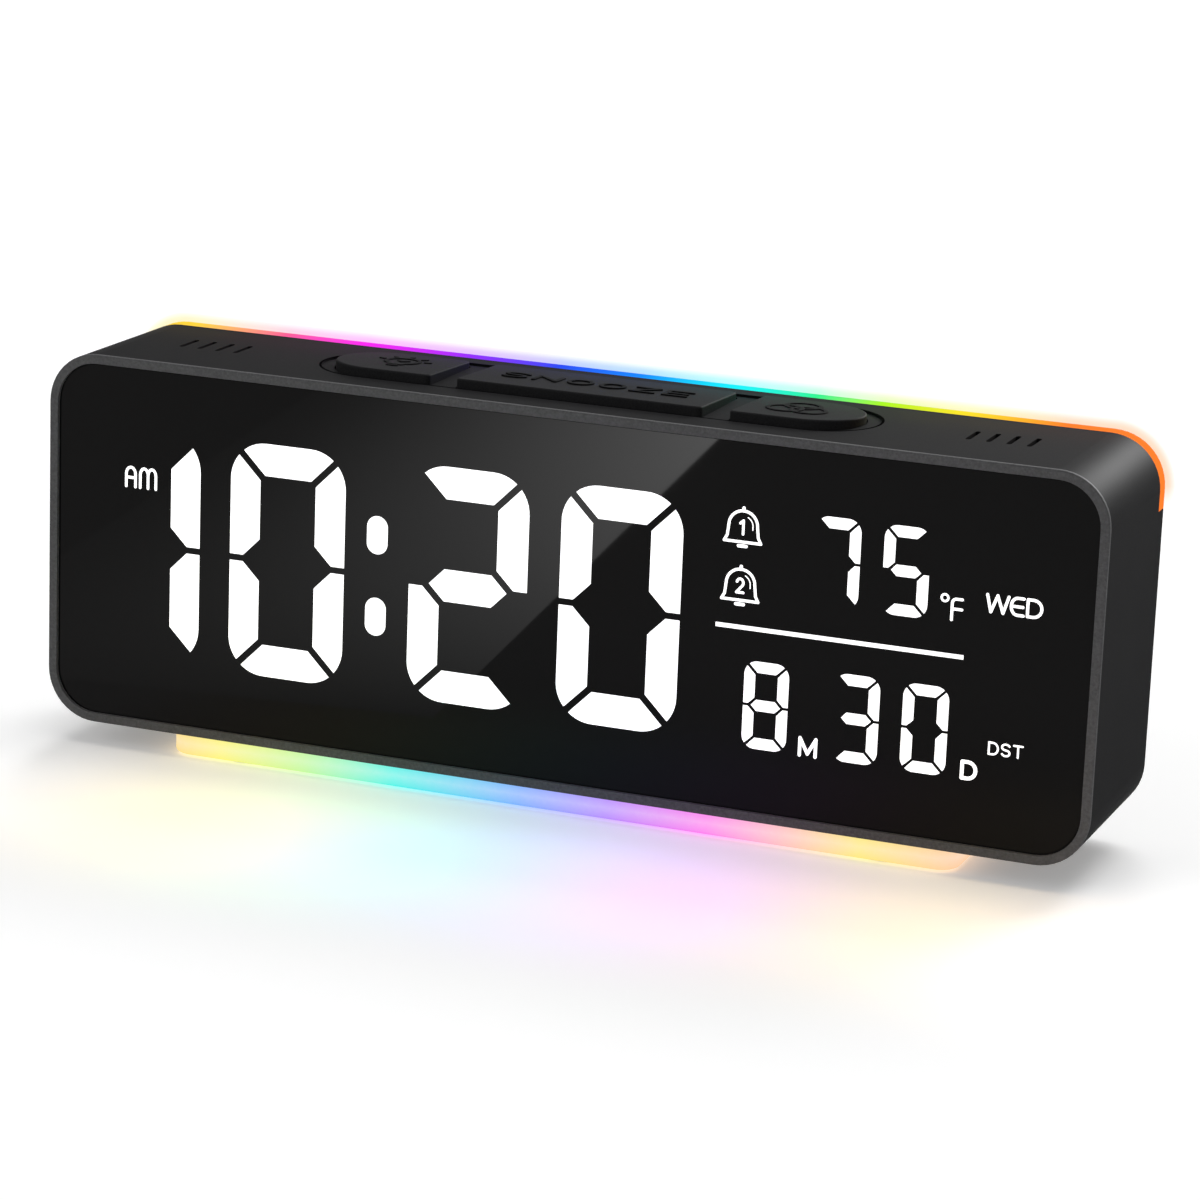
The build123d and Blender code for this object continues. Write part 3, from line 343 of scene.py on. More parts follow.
def moulded_plastic(name, rgb, grain, rough, relief=0.3, gloss=0.12):
    """Moulded plastic with the grain of a spark-eroded mould.

    The grain breaks up the sheen, so highlights are broad and soft and the colour is faintly
    speckled. Real grain is about 0.1 mm: it is drawn coarser, so that it shows."""
    material, tree, shader = new_finish(name)
    at = add_node(tree, "ShaderNodeTexCoord", output="Object")
    grains = add_node(tree, "ShaderNodeTexNoise", {
        "Vector": at, "Scale": 1 / grain, "Detail": 3.0, "Roughness": 0.6,
    })
    tone = add_node(tree, "ShaderNodeMapRange", {"Value": grains, "From Min": 0.3, "From Max": 0.7})
    speckle = add_node(tree, "ShaderNodeMix", {
        "Factor": tone, "A": tint(rgb, 0.82), "B": tint(rgb, 1.2),
    }, data_type="RGBA")
    # handling leaves wide faint patches that are a little smoother
    patches = add_node(tree, "ShaderNodeTexNoise", {"Vector": at, "Scale": 1 / (45 * MM)})
    sheen = add_node(tree, "ShaderNodeMapRange", {
        "Value": patches, "To Min": rough - 0.05, "To Max": rough + 0.05,
    })
    bump = add_node(tree, "ShaderNodeBump", {
        "Height": grains, "Strength": relief, "Distance": 0.05 * MM,
    })
    set_inputs(tree, shader, {
        "Base Color": speckle,
        "Roughness": sheen,
        "Normal": bump,
        "Specular IOR Level": gloss,
        "IOR": 1.53,
    })
    return material


def smoked_acrylic(name, rgb):
    """Cast acrylic with a smoked mirror film: black, very smooth, with clean reflections.

    Only wiping marks, about 20 mm wide, vary its gloss."""
    material, tree, shader = new_finish(name)
    depth, wiping = clouded(tree, rgb, 20 * MM, 0.9, 1.1, detail=4.0)
    gloss = add_node(tree, "ShaderNodeMapRange", {"Value": wiping, "To Min": 0.01, "To Max": 0.04})
    set_inputs(tree, shader, {
        "Base Color": depth, "Roughness": gloss, "Specular IOR Level": 0.08, "IOR": 1.49,
    })
    return material


def lit_opal(name, rgb):
    """Opal acrylic lit from behind: an even white, with the faint cloud of its filler."""
    material, tree, shader = new_finish(name)
    glow, _ = clouded(tree, rgb, 3 * MM, 0.97)
    set_inputs(tree, shader, {
        "Base Color": glow, "Roughness": 0.4, "Emission Color": glow, "Emission Strength": 1.0,
    })
    return material


def strip_lamps(name, rgb):
    """Small lamps on a white strip: pale and faintly warm where their phosphor glows."""
    material, tree, shader = new_finish(name)
    phosphor, _ = clouded(tree, rgb, 1.5 * MM, 0.8)
    set_inputs(tree, shader, {
        "Base Color": phosphor, "Roughness": 0.4, "Emission Color": phosphor, "Emission Strength": 0.6,
    })
    return material


def rainbow(tree, across, colours, low, high):
    """Colours that run into each other from the left end of a piece to its right end."""
    along = add_node(tree, "ShaderNodeMapRange", {"Value": across, "From Min": low.x, "From Max": high.x})
    hue = add_node(tree, "ShaderNodeValToRGB", {"Fac": along})
    stops = hue.node.color_ramp.elements
    for share, _ in colours[1:-1]:
        stops.new(share)
    for stop, (share, rgb) in zip(stops, colours):
        stop.position = share
        stop.color = tint(rgb)
    return hue


def rainbow_polycarbonate(name, colours, low, high, strength, core):
    """Frosted polycarbonate lit by coloured lamps along its length.

    The colours run into each other from end to end, and the body is paler along its core, where
    the frosting scatters the most light. It glows by its own light, so its surface colour is dark."""
    material, tree, shader = new_finish(name)
    at = add_node(tree, "ShaderNodeTexCoord", output="Object")
    axes = add_node(tree, "ShaderNodeSeparateXYZ", {"Vector": at}).node.outputs
    hue = rainbow(tree, axes["X"], colours, low, high)
    height = add_node(tree, "ShaderNodeMapRange", {
        "Value": axes["Z"], "From Min": low.z, "From Max": high.z, "To Min": -1.0,
    })
    from_core = add_node(tree, "ShaderNodeMath", {0: height}, operation="ABSOLUTE")
    pale = add_node(tree, "ShaderNodeMapRange", {"Value": from_core, "To Min": core, "To Max": 0.0})
    frost = add_node(tree, "ShaderNodeTexNoise", {"Vector": at, "Scale": 1 / (0.8 * MM)})
    cloud = add_node(tree, "ShaderNodeMapRange", {"Value": frost, "To Min": 0.4, "To Max": 0.6})
    grain = add_node(tree, "ShaderNodeMath", {0: pale, 1: cloud}, operation="MULTIPLY")
    glow = add_node(tree, "ShaderNodeMix", {"Factor": grain, "A": hue, "B": WHITE}, data_type="RGBA")
    set_inputs(tree, shader, {
        "Base Color": tint((0.01, 0.01, 0.01)),
        "Roughness": 0.5,
        "Specular IOR Level": 0.0,
        "Emission Color": glow,
        "Emission Strength": strength,
    })
    return material


def plated_steel(name, rgb, rough):
    """Plated steel: bright metal whose fine drawing marks, 0.2 mm apart, blur reflections."""
    material, tree, shader = new_finish(name)
    tone, marks = clouded(tree, rgb, 0.2 * MM, 0.85)
    blur = add_node(tree, "ShaderNodeMapRange", {
        "Value": marks, "To Min": rough - 0.08, "To Max": rough + 0.08,
    })
    set_inputs(tree, shader, {"Base Color": tone, "Roughness": blur, "Metallic": 1.0})
    return material


def solder_mask_board(name, rgb):
    """Glass-epoxy board under green solder mask: glossy, with copper tracks 1.2 mm apart that
    show through as paler lines."""
    material, tree, shader = new_finish(name)
    at = add_node(tree, "ShaderNodeTexCoord", output="Object")
    upright = add_node(tree, "ShaderNodeMapping", {"Vector": at, "Rotation": FACING_FRONT})
    tracks = add_node(tree, "ShaderNodeTexBrick", {
        "Vector": upright,
        "Scale": 1.0,
        "Mortar Size": 0.18 * MM,
        "Brick Width": 7.2 * MM,
        "Row Height": 1.2 * MM,
        "Color1": tint(rgb),
        "Color2": tint(rgb, 0.86),
        "Mortar": tint(rgb, 1.9),
    })
    set_inputs(tree, shader, {"Base Color": tracks, "Roughness": 0.32})
    return material


def cell_jacket(name, rgb, band):
    """Shrunk film over a steel can: dark and satin, with a metallic band round the raised end.

    The two cells lie opposite ways, so the band is at opposite ends above and below."""
    material, tree, shader = new_finish(name)
    band_start = 13 * MM
    centred = add_node(tree, "ShaderNodeVectorMath", {
        0: add_node(tree, "ShaderNodeTexCoord", output="Object"), 1: (CELLS_LOW + CELLS_HIGH) / 2,
    }, operation="SUBTRACT")
    axes = add_node(tree, "ShaderNodeSeparateXYZ", {"Vector": centred}).node.outputs
    side = add_node(tree, "ShaderNodeMath", {0: axes["Z"]}, operation="SIGN")
    to_end = add_node(tree, "ShaderNodeMath", {0: axes["X"], 1: side}, operation="MULTIPLY")
    banded = add_node(tree, "ShaderNodeMath", {0: to_end, 1: band_start}, operation="GREATER_THAN")
    film, _ = clouded(tree, rgb, 4 * MM, 0.85, 1.15)
    paint = add_node(tree, "ShaderNodeMix", {
        "Factor": banded, "A": film, "B": tint(band),
    }, data_type="RGBA")
    set_inputs(tree, shader, {"Base Color": paint, "Metallic": banded, "Roughness": 0.3})
    return material


def flat_cable_vinyl(name, rgb):
    """Vinyl flat cable: soft white, darker in bands 1.27 mm apart between its wires, as painted shade of
    the hollows there.
    """
    material, tree, shader = new_finish(name)
    at = add_node(tree, "ShaderNodeTexCoord", output="Object")
    # a wave of scale 1 repeats every tau / 20
    wires = add_node(tree, "ShaderNodeTexWave", {
        "Vector": at, "Scale": math.tau / 20 / (1.27 * MM),
    }, output="Fac", bands_direction="X")
    # painted shade: the colour is darker in the bands between the wires
    tone = add_node(tree, "ShaderNodeMix", {
        "Factor": wires, "A": tint(rgb, 0.7), "B": tint(rgb),
    }, data_type="RGBA")
    set_inputs(tree, shader, {"Base Color": tone, "Roughness": 0.5})
    return material


def give_finish(material, *nodes):
    """Puts a finish on nodes of the model."""
    for name in nodes:
        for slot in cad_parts[name].material_slots:
            slot.material = material


def spread(colours, hues):
    """Pairs the shares of a length with the colours of a group."""
    return [(share, tuple(getattr(colours, name))) for name, share in hues.items()]


def arc(centre, radii, start, end, steps=10):
    """Points on an arc of an ellipse, its angles in degrees."""
    points = []
    for i in range(steps + 1):
        angle = math.radians(start + (end - start) * i / steps)
        points.append((centre[0] + radii[0] * math.cos(angle), centre[1] + radii[1] * math.sin(angle)))
    return points


def ring(centre, radius):
    """A closed circle, which ends on the point that it starts from."""
    points = arc(centre, (radius, radius), 0, 360, 24)
    return points[:-1] + points[:1]


def arch(left, right, shoulder):
    """A round arch as high as its letter, from one foot to the other."""
    middle = (left + right) / 2
    return [(left, 0)] + arc((middle, shoulder), (right - middle, 1 - shoulder), 180, 0) + [(right, 0)]


# Pen strokes of the letters in a box one unit wide and high. A stroke that ends on its first point
# is closed. A, M, E and F are round forms, and "m" and "=" are the plain M and E.
LETTERS = {
    "A": [arch(0, 1, 0.64), [(0, 0.47), (1, 0.47)]],
    "M": [arch(0, 0.5, 0.66), arch(0.5, 1, 0.66)],
    "m": [[(0, 0), (0, 1), (0.5, 0.12), (1, 1), (1, 0)]],
    "F": [[(0, 0), *arc((0.42, 0.8), (0.42, 0.2), 180, 90, 6), (1, 1)], [(0, 0.52), (1, 0.52)]],
    "W": [[(0, 1), (0.19, 0), (0.48, 1), (0.76, 0), (1, 1)]],
    "E": [[(1, 1), *arc((0.5, 0.5), (0.5, 0.5), 90, 270), (1, 0)], [(0, 0.5), (0.94, 0.5)]],
    "D": [[(0, 0), (0, 1), *arc((0.42, 0.5), (0.58, 0.5), 90, -90), (0, 0)]],
    "S": [arc((0.5, 0.75), (0.5, 0.25), 25, 255) + arc((0.5, 0.25), (0.5, 0.25), 90, -155)],
    "T": [[(0, 1), (1, 1)], [(0.5, 1), (0.5, 0)]],
    "N": [[(0, 0), (0, 1), (1, 0), (1, 1)]],
    "O": [[*arc((0.5, 0.5), (0.5, 0.5), 0, 345, 23), (1.0, 0.5)]],
    "Z": [[(0, 1), (1, 1), (0, 0), (1, 0)]],
    "=": [[(1, 1), (0, 1), (0, 0), (1, 0)], [(0, 0.5), (0.9, 0.5)]],
    "1": [[(0, 0.78), (0.75, 1), (0.75, 0)]],
    "2": [arc((0.5, 0.7), (0.46, 0.3), 165, -30, 12) + [(0.02, 0), (1, 0)]],
}


def offset_side(path, half, closed):
    """The left edge of a pen stroke along a path: round at its outer corners and at its end."""
    points = [Vector(p) for p in path]
    count = len(points)
    edge = []
    for i, point in enumerate(points):
        first = not closed and i == 0
        last = not closed and i == count - 1
        ahead = (points[(i + 1) % count] - point).normalized()
        behind = (point - points[i - 1]).normalized()
        come = ahead if first else behind
        go = behind if last else ahead
        start = Vector((-come.y, come.x))
        end = Vector((-go.y, go.x))
        turn = -math.pi if last else -start.angle_signed(end)
        if turn > -STRAIGHT:
            edge.append(point + (start + end) * half / (1 + start.dot(end)))
            continue
        steps = max(1, round(abs(turn) / ROUND_STEP))
        for step in range(steps + 1):
            share = turn * step / steps
            cos, sin = math.cos(share), math.sin(share)
            edge.append(point + half * Vector((
                start.x * cos - start.y * sin, start.x * sin + start.y * cos,
            )))
    return edge


def stroke_outlines(path, width):
    """Outlines of a pen stroke: one round an open path, or the two edges of a closed one."""
    closed = path[0] == path[-1]
    if closed:
        path = path[:-1]
    sides = [offset_side(way, width / 2, closed) for way in (path, path[::-1])]
    return sides if closed else [sides[0] + sides[1]]


def deselect():
    """Leaves nothing selected, so that an operator acts on the new piece alone."""
    bpy.ops.object.select_all(action="DESELECT")


def choose(*pieces):
    """Selects these pieces alone, with the first one active."""
    deselect()
    for piece in pieces:
        piece.select_set(True)
    bpy.context.view_layer.objects.active = pieces[0]


def apply_place():
    """Moves the place, turn and size of the chosen piece into its mesh."""
    bpy.ops.object.transform_apply(location=True, rotation=True, scale=True)


def move_piece(piece, where, turn=ORIGIN):
    """Moves and turns a piece in its mesh."""
    choose(piece)
    piece.location = where
    piece.rotation_euler = turn
    apply_place()


def copies(piece, places):
    """Copies of a model, each with its own mesh, at the given places and turns. The model goes."""
    made = []
    for where, turn in places:
        copy = piece.copy()
        copy.data = piece.data.copy()
        bpy.context.collection.objects.link(copy)
        move_piece(copy, where, turn)
        made.append(copy)
    bpy.data.objects.remove(piece)
    return made


def weld(pieces):
    """Joins solids that cross each other into one solid."""
    whole = pieces[0]
    for part in pieces[1:]:
        choose(whole)
        union = whole.modifiers.new("weld", "BOOLEAN")
        union.operation = "UNION"
        union.solver = "EXACT"
        union.object = part
        bpy.ops.object.modifier_apply(modifier=union.name)
        bpy.data.objects.remove(part)
    return whole


def join(pieces):
    """Joins solids that lie apart into one piece."""
    choose(*pieces)
    if len(pieces) > 1:
        bpy.ops.object.join()
    return pieces[0]


def finish_flat():
    """Makes the new flat curve or text a clean mesh with its place applied."""
    bpy.ops.object.convert(target="MESH")
    piece = bpy.context.object
    apply_place()
    bpy.ops.object.mode_set(mode="EDIT")
    bpy.ops.mesh.select_all(action="SELECT")
    bpy.ops.mesh.remove_doubles(threshold=0.001 * MM)
    bpy.ops.mesh.normals_make_consistent(inside=False)
    bpy.ops.object.mode_set(mode="OBJECT")
    return piece


def flat_shape(outlines, relief, sunk, edge=0.0):
    """A flat solid from outlines in millimetres, made a mesh about the plane it is set on."""
    bpy.ops.object.add(type="CURVE")
    piece = bpy.context.object
    curve = piece.data
    curve.dimensions = "2D"
    curve.fill_mode = "BOTH"
    curve.extrude = (relief + sunk) / 2 - edge
    curve.bevel_depth = edge
    curve.bevel_resolution = 1
    for outline in outlines:
        spline = curve.splines.new("POLY")
        spline.points.add(len(outline) - 1)
        for point, (x, y) in zip(spline.points, outline):
            point.co = (x * MM, y * MM, 0, 1)
        spline.use_cyclic_u = True
    piece.location.z = (relief - sunk) / 2
    return finish_flat()


def flat_word(body, size, relief, sunk):
    """A word as a flat solid of a given width and height, its lower middle at the origin."""
    bpy.ops.object.text_add()
    piece = bpy.context.object
    piece.data.body = body
    piece.data.extrude = (relief + sunk) / 2
    piece = finish_flat()
    corners = [vertex.co for vertex in piece.data.vertices]
    low = Vector(map(min, *corners))
    high = Vector(map(max, *corners))
    stretch = Vector((size[0] / (high.x - low.x), size[1] / (high.y - low.y), 1))
    piece.scale = stretch
    middle = (low.x + high.x) / 2
    move_piece(piece, (-middle * stretch.x, -low.y * stretch.y, (relief - sunk) / 2))
    return piece


def pen_letters(letters, height, stroke, relief, sunk, edge=0.0):
    """Letters side by side as one piece, each given with its left end and its width in millimetres."""
    solids = []
    for letter, left, width in letters:
        strokes = []
        for path in LETTERS[letter]:
            scaled = [
                (left + stroke / 2 + x * (width - stroke), stroke / 2 + y * (height - stroke))
                for x, y in path
            ]
            strokes.append(flat_shape(stroke_outlines(scaled, stroke), relief, sunk, edge))
        solids.append(weld(strokes))
    return join(solids)


def set_piece(piece, name, where, turn, material, body="clock_body"):
    """Sets a piece in its place, names it, gives it its finish and lets it ride on a body."""
    move_piece(piece, where, turn)
    piece.name = name
    piece.data.name = name
    piece.data.materials.clear()
    piece.data.materials.append(material)
    bpy.ops.object.shade_smooth_by_angle(angle=SMOOTH_ANGLE)
    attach(piece, body)


def set_on_front(piece, name, where):
    """Sets a lit legend on the panel, its place given from the middle of the front."""
    lit = bpy.data.materials["lit opal acrylic"]
    spot = (where[0], PANEL_LOW.y, FRONT_MIDDLE + where[1])
    set_piece(piece, name, spot, FACING_FRONT, lit)


def set_on_key(piece, name, key, shift, material):
    """Lays a mark on the sloping top of a key."""
    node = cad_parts[f"{key}_button"]
    top = max(node.data.polygons, key=lambda face: face.area if face.normal.z > UPWARD else 0)
    slope = math.atan2(-top.normal.y, top.normal.z)
    level = top.normal.dot(top.center) / top.normal.z
    low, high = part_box(f"{key}_button")
    where = ((low.x + high.x) / 2 + shift, 0, level)
    set_piece(piece, name, where, (slope, 0, 0), material, f"{key}_key")


class CLOCK_OT_case_finish(Operator):
    """Gives the frame, the shell, the rear cover, its door and the feet their finishes"""

    bl_idname = "clock.case_finish"
    bl_label = "Case Finish"

    def execute(self, context):
        colours = context.scene.clock_colours
        grey = moulded_plastic("grained grey ABS", colours.rim, 0.45 * MM, 0.65, relief=0.5, gloss=0.03)
        give_finish(grey, "front_frame")
        black = moulded_plastic("matt black ABS", colours.shell, 0.35 * MM, 0.58, gloss=0.007)
        give_finish(black, "main_housing", "rear_cover", "battery_door")
        # cured rubber: dull and close to black, with a wide and weak highlight
        rubber = moulded_plastic("black silicone rubber", colours.rubber, 0.6 * MM, 0.85, gloss=0.2)
        give_finish(rubber, "rubber_feet")
        return {"FINISHED"}


class CLOCK_OT_display_finish(Operator):
    """Gives the panel and the lit numerals their finishes"""

    bl_idname = "clock.display_finish"
    bl_label = "Display Finish"

    def execute(self, context):
        colours = context.scene.clock_colours
        give_finish(smoked_acrylic("smoked acrylic", colours.glass), "mirror_panel")
        opal = lit_opal("lit opal acrylic", colours.lit)
        give_finish(opal, *[f"{group}_digits" for group in ("hour", "minute", "temperature", "date")])
        give_finish(opal, "colon_dots", "divider_line")
        return {"FINISHED"}


class CLOCK_OT_key_finish(Operator):
    """Gives the keys and their plungers their finishes"""

    bl_idname = "clock.key_finish"
    bl_label = "Key Finish"

    def execute(self, context):
        colours = context.scene.clock_colours
        black = moulded_plastic("satin black ABS", colours.key, 0.3 * MM, 0.65, relief=0.2, gloss=0.006)
        acetal = moulded_plastic("white acetal", colours.white_moulding, 0.5 * MM, 0.4, relief=0.1)
        for key in (*TOP_KEYS, *REAR_WORDS):
            give_finish(black, f"{key}_button")
            give_finish(acetal, f"{key}_plunger")
        return {"FINISHED"}


class CLOCK_OT_light_finish(Operator):
    """Gives the rainbow pieces and their lamps their finishes"""

    bl_idname = "clock.light_finish"
    bl_label = "Light Finish"

    def execute(self, context):
        scene = context.scene
        guide = spread(scene.clock_guide_colours, GUIDE_HUES)
        bright = rainbow_polycarbonate(
            "rainbow-lit polycarbonate", guide, GUIDE_LOW, GUIDE_HIGH, strength=1.05, core=0.0
        )
        give_finish(bright, "top_light_guide")
        bar = spread(scene.clock_bar_colours, BAR_HUES)
        pastel = rainbow_polycarbonate(
            "frosted lit polycarbonate", bar, BAR_LOW, BAR_HIGH, strength=1.0, core=0.5
        )
        give_finish(pastel, "base_light_bar")
        lamps = strip_lamps("phosphor lamps", scene.clock_colours.lamp)
        give_finish(lamps, "display_leds", "top_led_strip", "base_led_strip")
        return {"FINISHED"}


class CLOCK_OT_inner_finish(Operator):
    """Gives the boards, fasteners, inlet and battery their finishes"""

    bl_idname = "clock.inner_finish"
    bl_label = "Inner Finish"

    def execute(self, context):
        colours = context.scene.clock_colours
        board = solder_mask_board("green solder mask", colours.board)
        give_finish(board, "display_board", "button_board", "main_board", "temperature_sensor")
        epoxy = moulded_plastic("black moulding epoxy", colours.chip, 0.4 * MM, 0.55)
        give_finish(epoxy, "display_driver", "main_chip")
        nylon = moulded_plastic("black nylon", colours.switch, 0.5 * MM, 0.45)
        give_finish(nylon, "top_switches", "rear_switches", "buzzer")
        white = moulded_plastic("white ABS", colours.white_moulding, 0.5 * MM, 0.5, relief=0.15)
        give_finish(white, "light_box", "board_connector")
        zinc = plated_steel("zinc plated steel", colours.steel, 0.35)
        for seat in ("display", "button_board", "main_board", "base", "rear"):
            give_finish(zinc, f"{seat}_screws")
        nickel = plated_steel("nickel plated steel", colours.nickel, 0.25)
        give_finish(nickel, "power_socket", "battery_contacts")
        jacket = cell_jacket("film jacket", colours.jacket, colours.jacket_band)
        give_finish(jacket, "battery_cells")
        give_finish(flat_cable_vinyl("white vinyl", colours.white_moulding), "button_cable")
        return {"FINISHED"}


class CLOCK_OT_letter_legends(Operator):
    """Makes the lit letters beside the numerals"""

    bl_idname = "clock.letter_legends"
    bl_label = "Letter Legends"

    def execute(self, context):
        sizes = context.scene.clock_legends
        # each letter with its left end and its width in millimetres
        legends = {
            "morning": [("A", 0, 2.4), ("M", 2.85, 3.7)],
            "degree": [("F", 1.9, 2.25)],
            "weekday": [("W", 0, 4.3), ("E", 4.25, 2.7), ("D", 7.15, 3.0)],
            "month": [("m", 0, 3.5)],
            "day": [("D", 0, 3.1)],
            "summer": [("D", 0, 1.95), ("S", 2.3, 1.75), ("T", 4.4, 1.9)],
        }
        for name, letters in legends.items():
            left, base, height, stroke = getattr(sizes, name)
            piece = pen_letters(letters, height / MM, stroke / MM, sizes.relief, sizes.sunk)
            if name == "degree":
                line = sizes.degree_ring_stroke / MM
                outer = sizes.degree_radius / MM
                loop = ring((outer, (height - sizes.degree_drop) / MM), outer - line / 2)
                piece = join([piece, flat_shape(stroke_outlines(loop, line), sizes.relief, sizes.sunk)])
            set_on_front(piece, f"{name}_legend", (left, base))
        return {"FINISHED"}


class CLOCK_OT_alarm_bells(Operator):
    """Makes the two lit alarm bells"""

    bl_idname = "clock.alarm_bells"
    bl_label = "Alarm Bells"

    def execute(self, context):
        sizes = context.scene.clock_legends

        # a bell's drawing in millimetres, from the middle of its base line
        lip = 3.38
        dome = 2.64
        dome_level = 2.9
        waist = dome + 0.2
        waist_level = 1.0
        crown = dome_level + dome
        knob = 0.5
        clapper = 0.7
        clapper_level = -0.72
        thick = 0.6
        thin = 0.18
        glint = (1.8, 1.75)
        glint_end = (glint[0], 2.3)
        figure_level = 1.15
        figure_height = 2.9
        figures = {"1": (-0.75, 1.2), "2": (-0.95, 1.75)}

        def drawn(path, width):
            """A stroke of the drawing."""
            return flat_shape(stroke_outlines(path, width), sizes.relief, sizes.sunk)

        outline = [
            (-lip, 0),
            (-waist, waist_level),
            *arc((0, dome_level), (dome, dome), 180, 0, 18),
            (waist, waist_level),
            (lip, 0),
            (-lip, 0),
        ]
        bell = join([
            weld([drawn(outline, sizes.bell_stroke / MM), drawn([(0, crown), (0, crown + knob)], thick)]),
            drawn([(-clapper, clapper_level), (clapper, clapper_level)], thick),
            drawn(arc((0, dome_level), glint, 62, 5, 6) + [glint_end], thin),
        ])
        bells = copies(bell, [(ORIGIN, ORIGIN)] * len(figures))
        for i, (digit, (left, width)) in enumerate(figures.items()):
            stroke = sizes.figure_stroke / MM
            figure = pen_letters([(digit, left, width)], figure_height, stroke, sizes.relief, sizes.sunk)
            move_piece(figure, (0, figure_level * MM, 0))
            where = (sizes.first_bell[0], sizes.first_bell[1] - i * sizes.bell_drop)
            set_on_front(join([bells[i], figure]), f"alarm_bell_{digit}", where)
        return {"FINISHED"}


class CLOCK_OT_key_marks(Operator):
    """Makes the raised bulb, word and rings on the top keys, and the painted shadow line round their well
    """

    bl_idname = "clock.key_marks"
    bl_label = "Key Marks"

    def execute(self, context):
        sizes = context.scene.clock_key_marks
        colours = context.scene.clock_colours
        # the mould leaves the marks without grain; their colour is darker than the keys' as painted shade,
        # for the shaded sides of the raised marks
        mark_painted_shade = colours.key_mark
        black = moulded_plastic("smooth black ABS", mark_painted_shade, 0.5 * MM, 0.65, relief=0.05, gloss=0.006)
        line = sizes.line / MM

        # a bulb's drawing in millimetres, from the middle of its key
        middle = sizes.bulb_rise / MM
        radius = sizes.bulb_radius / MM
        neck = 1.2
        neck_level = -3.1
        filament = 0.9
        filament_drop = 0.5
        foot = 0.8
        foot_level = neck_level - 1.2
        ray_angles = (15, 52, 90, 128, 165)

        def drawn(*path):
            """A stroke of a mark."""
            return flat_shape(stroke_outlines(list(path), line), sizes.relief, sizes.sunk, sizes.edge)

        glass = arc((0, middle), (radius, radius), -60, 240, 24)
        top, bottom = middle + filament_drop, middle - filament_drop
        ray = drawn((sizes.ray_start / MM, 0), (sizes.ray_end / MM, 0))
        bulb = join([
            drawn((neck, neck_level), *glass, (-neck, neck_level), (neck, neck_level)),
            drawn((-filament, top), (0, bottom), (filament, top)),
            drawn((-foot, foot_level), (foot, foot_level)),
            *copies(ray, [((0, sizes.bulb_rise, 0), (0, 0, math.radians(a))) for a in ray_angles]),
        ])
        set_on_key(bulb, "bulb_mark", "light", sizes.shift, black)

        loop = drawn(*ring((0, 0), sizes.ring_radius / MM))
        spots = arc((0, 0), (sizes.ring_spread, sizes.ring_spread), 90, 330, 2)
        rings = weld(copies(loop, [((*spot, 0), ORIGIN) for spot in spots]))
        set_on_key(rings, "rings_mark", "colour", -sizes.shift, black)

        step = (sizes.letter_width + sizes.letter_space) / MM
        width = sizes.letter_width / MM
        height = sizes.letter_height / MM
        letters = [(letter, i * step, width) for i, letter in enumerate("SNOOZ=")]
        word = pen_letters(letters, height, line, sizes.word_relief, sizes.sunk, sizes.edge)
        word_end = letters[-1][1] + width
        move_piece(word, (-word_end / 2 * MM, -height / 2 * MM, 0))
        set_on_key(word, "snooze_word", "snooze", 0, black)

        # a flat black line is laid round the edge of the well that the keys stand in, as painted shadow
        # for the gap there
        ink = moulded_plastic("matt black ink", colours.groove, 0.5 * MM, 0.7, relief=0.05, gloss=0.0)
        gap = sizes.groove / MM
        half = WELL_REACH - WELL_RADIUS
        bend = (WELL_RADIUS + gap / 2, WELL_RADIUS + gap / 2)
        edge = arc((half, 0), bend, -90, 90, 24) + arc((-half, 0), bend, 90, 270, 24)
        groove = flat_shape(stroke_outlines(edge + edge[:1], gap), relief=0.02 * MM, sunk=0.03 * MM)
        set_piece(groove, "well_groove", (0, 0, HOUSING_TOP), ORIGIN, ink)
        return {"FINISHED"}


class CLOCK_OT_rear_print(Operator):
    """Makes the words printed above the setting keys"""

    bl_idname = "clock.rear_print"
    bl_label = "Rear Print"

    def execute(self, context):
        sizes = context.scene.clock_rear_print
        letter_width = 0.85 * sizes.height
        ink = moulded_plastic("pale pad-print ink", context.scene.clock_colours.print_ink, 0.3 * MM, 0.6)
        for key, body in REAR_WORDS.items():
            low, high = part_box(f"{key}_button")
            size = (letter_width * len(body), sizes.height)
            piece = flat_word(body, size, sizes.relief, sizes.sunk)
            where = ((low.x + high.x) / 2, COVER_BACK, high.z + sizes.gap)
            set_piece(piece, f"{key}_word", where, FACING_REAR, ink)
        return {"FINISHED"}


def pick(piece, kind, test):
    """Selects the edges or faces of a piece that pass a test, and stays in edit mode."""
    bpy.ops.object.mode_set(mode="EDIT")
    bpy.ops.mesh.select_mode(type=kind)
    bpy.ops.mesh.select_all(action="DESELECT")
    bpy.ops.object.mode_set(mode="OBJECT")
    for part in piece.data.edges if kind == "EDGE" else piece.data.polygons:
        part.select = test(part)
    bpy.ops.object.mode_set(mode="EDIT")


def contact_plate(sizes):
    """A sheet with round corners, its back on the floor of the frame."""
    deselect()
    bpy.ops.mesh.primitive_cube_add(size=1, location=(0, 0, sizes.thickness / 2))
    plate = bpy.context.object
    plate.scale = (sizes.plate, sizes.plate, sizes.thickness)
    apply_place()
    corners = plate.data.vertices

    def upright(edge):
        """Whether an edge runs through the sheet."""
        start, end = [corners[i].co for i in edge.vertices]
        return (start - end).xy.length < 0.1 * sizes.corner

    pick(plate, "EDGE", upright)
    bpy.ops.mesh.bevel(offset=sizes.corner, segments=4, affect="EDGES")
    bpy.ops.object.mode_set(mode="OBJECT")
    return plate


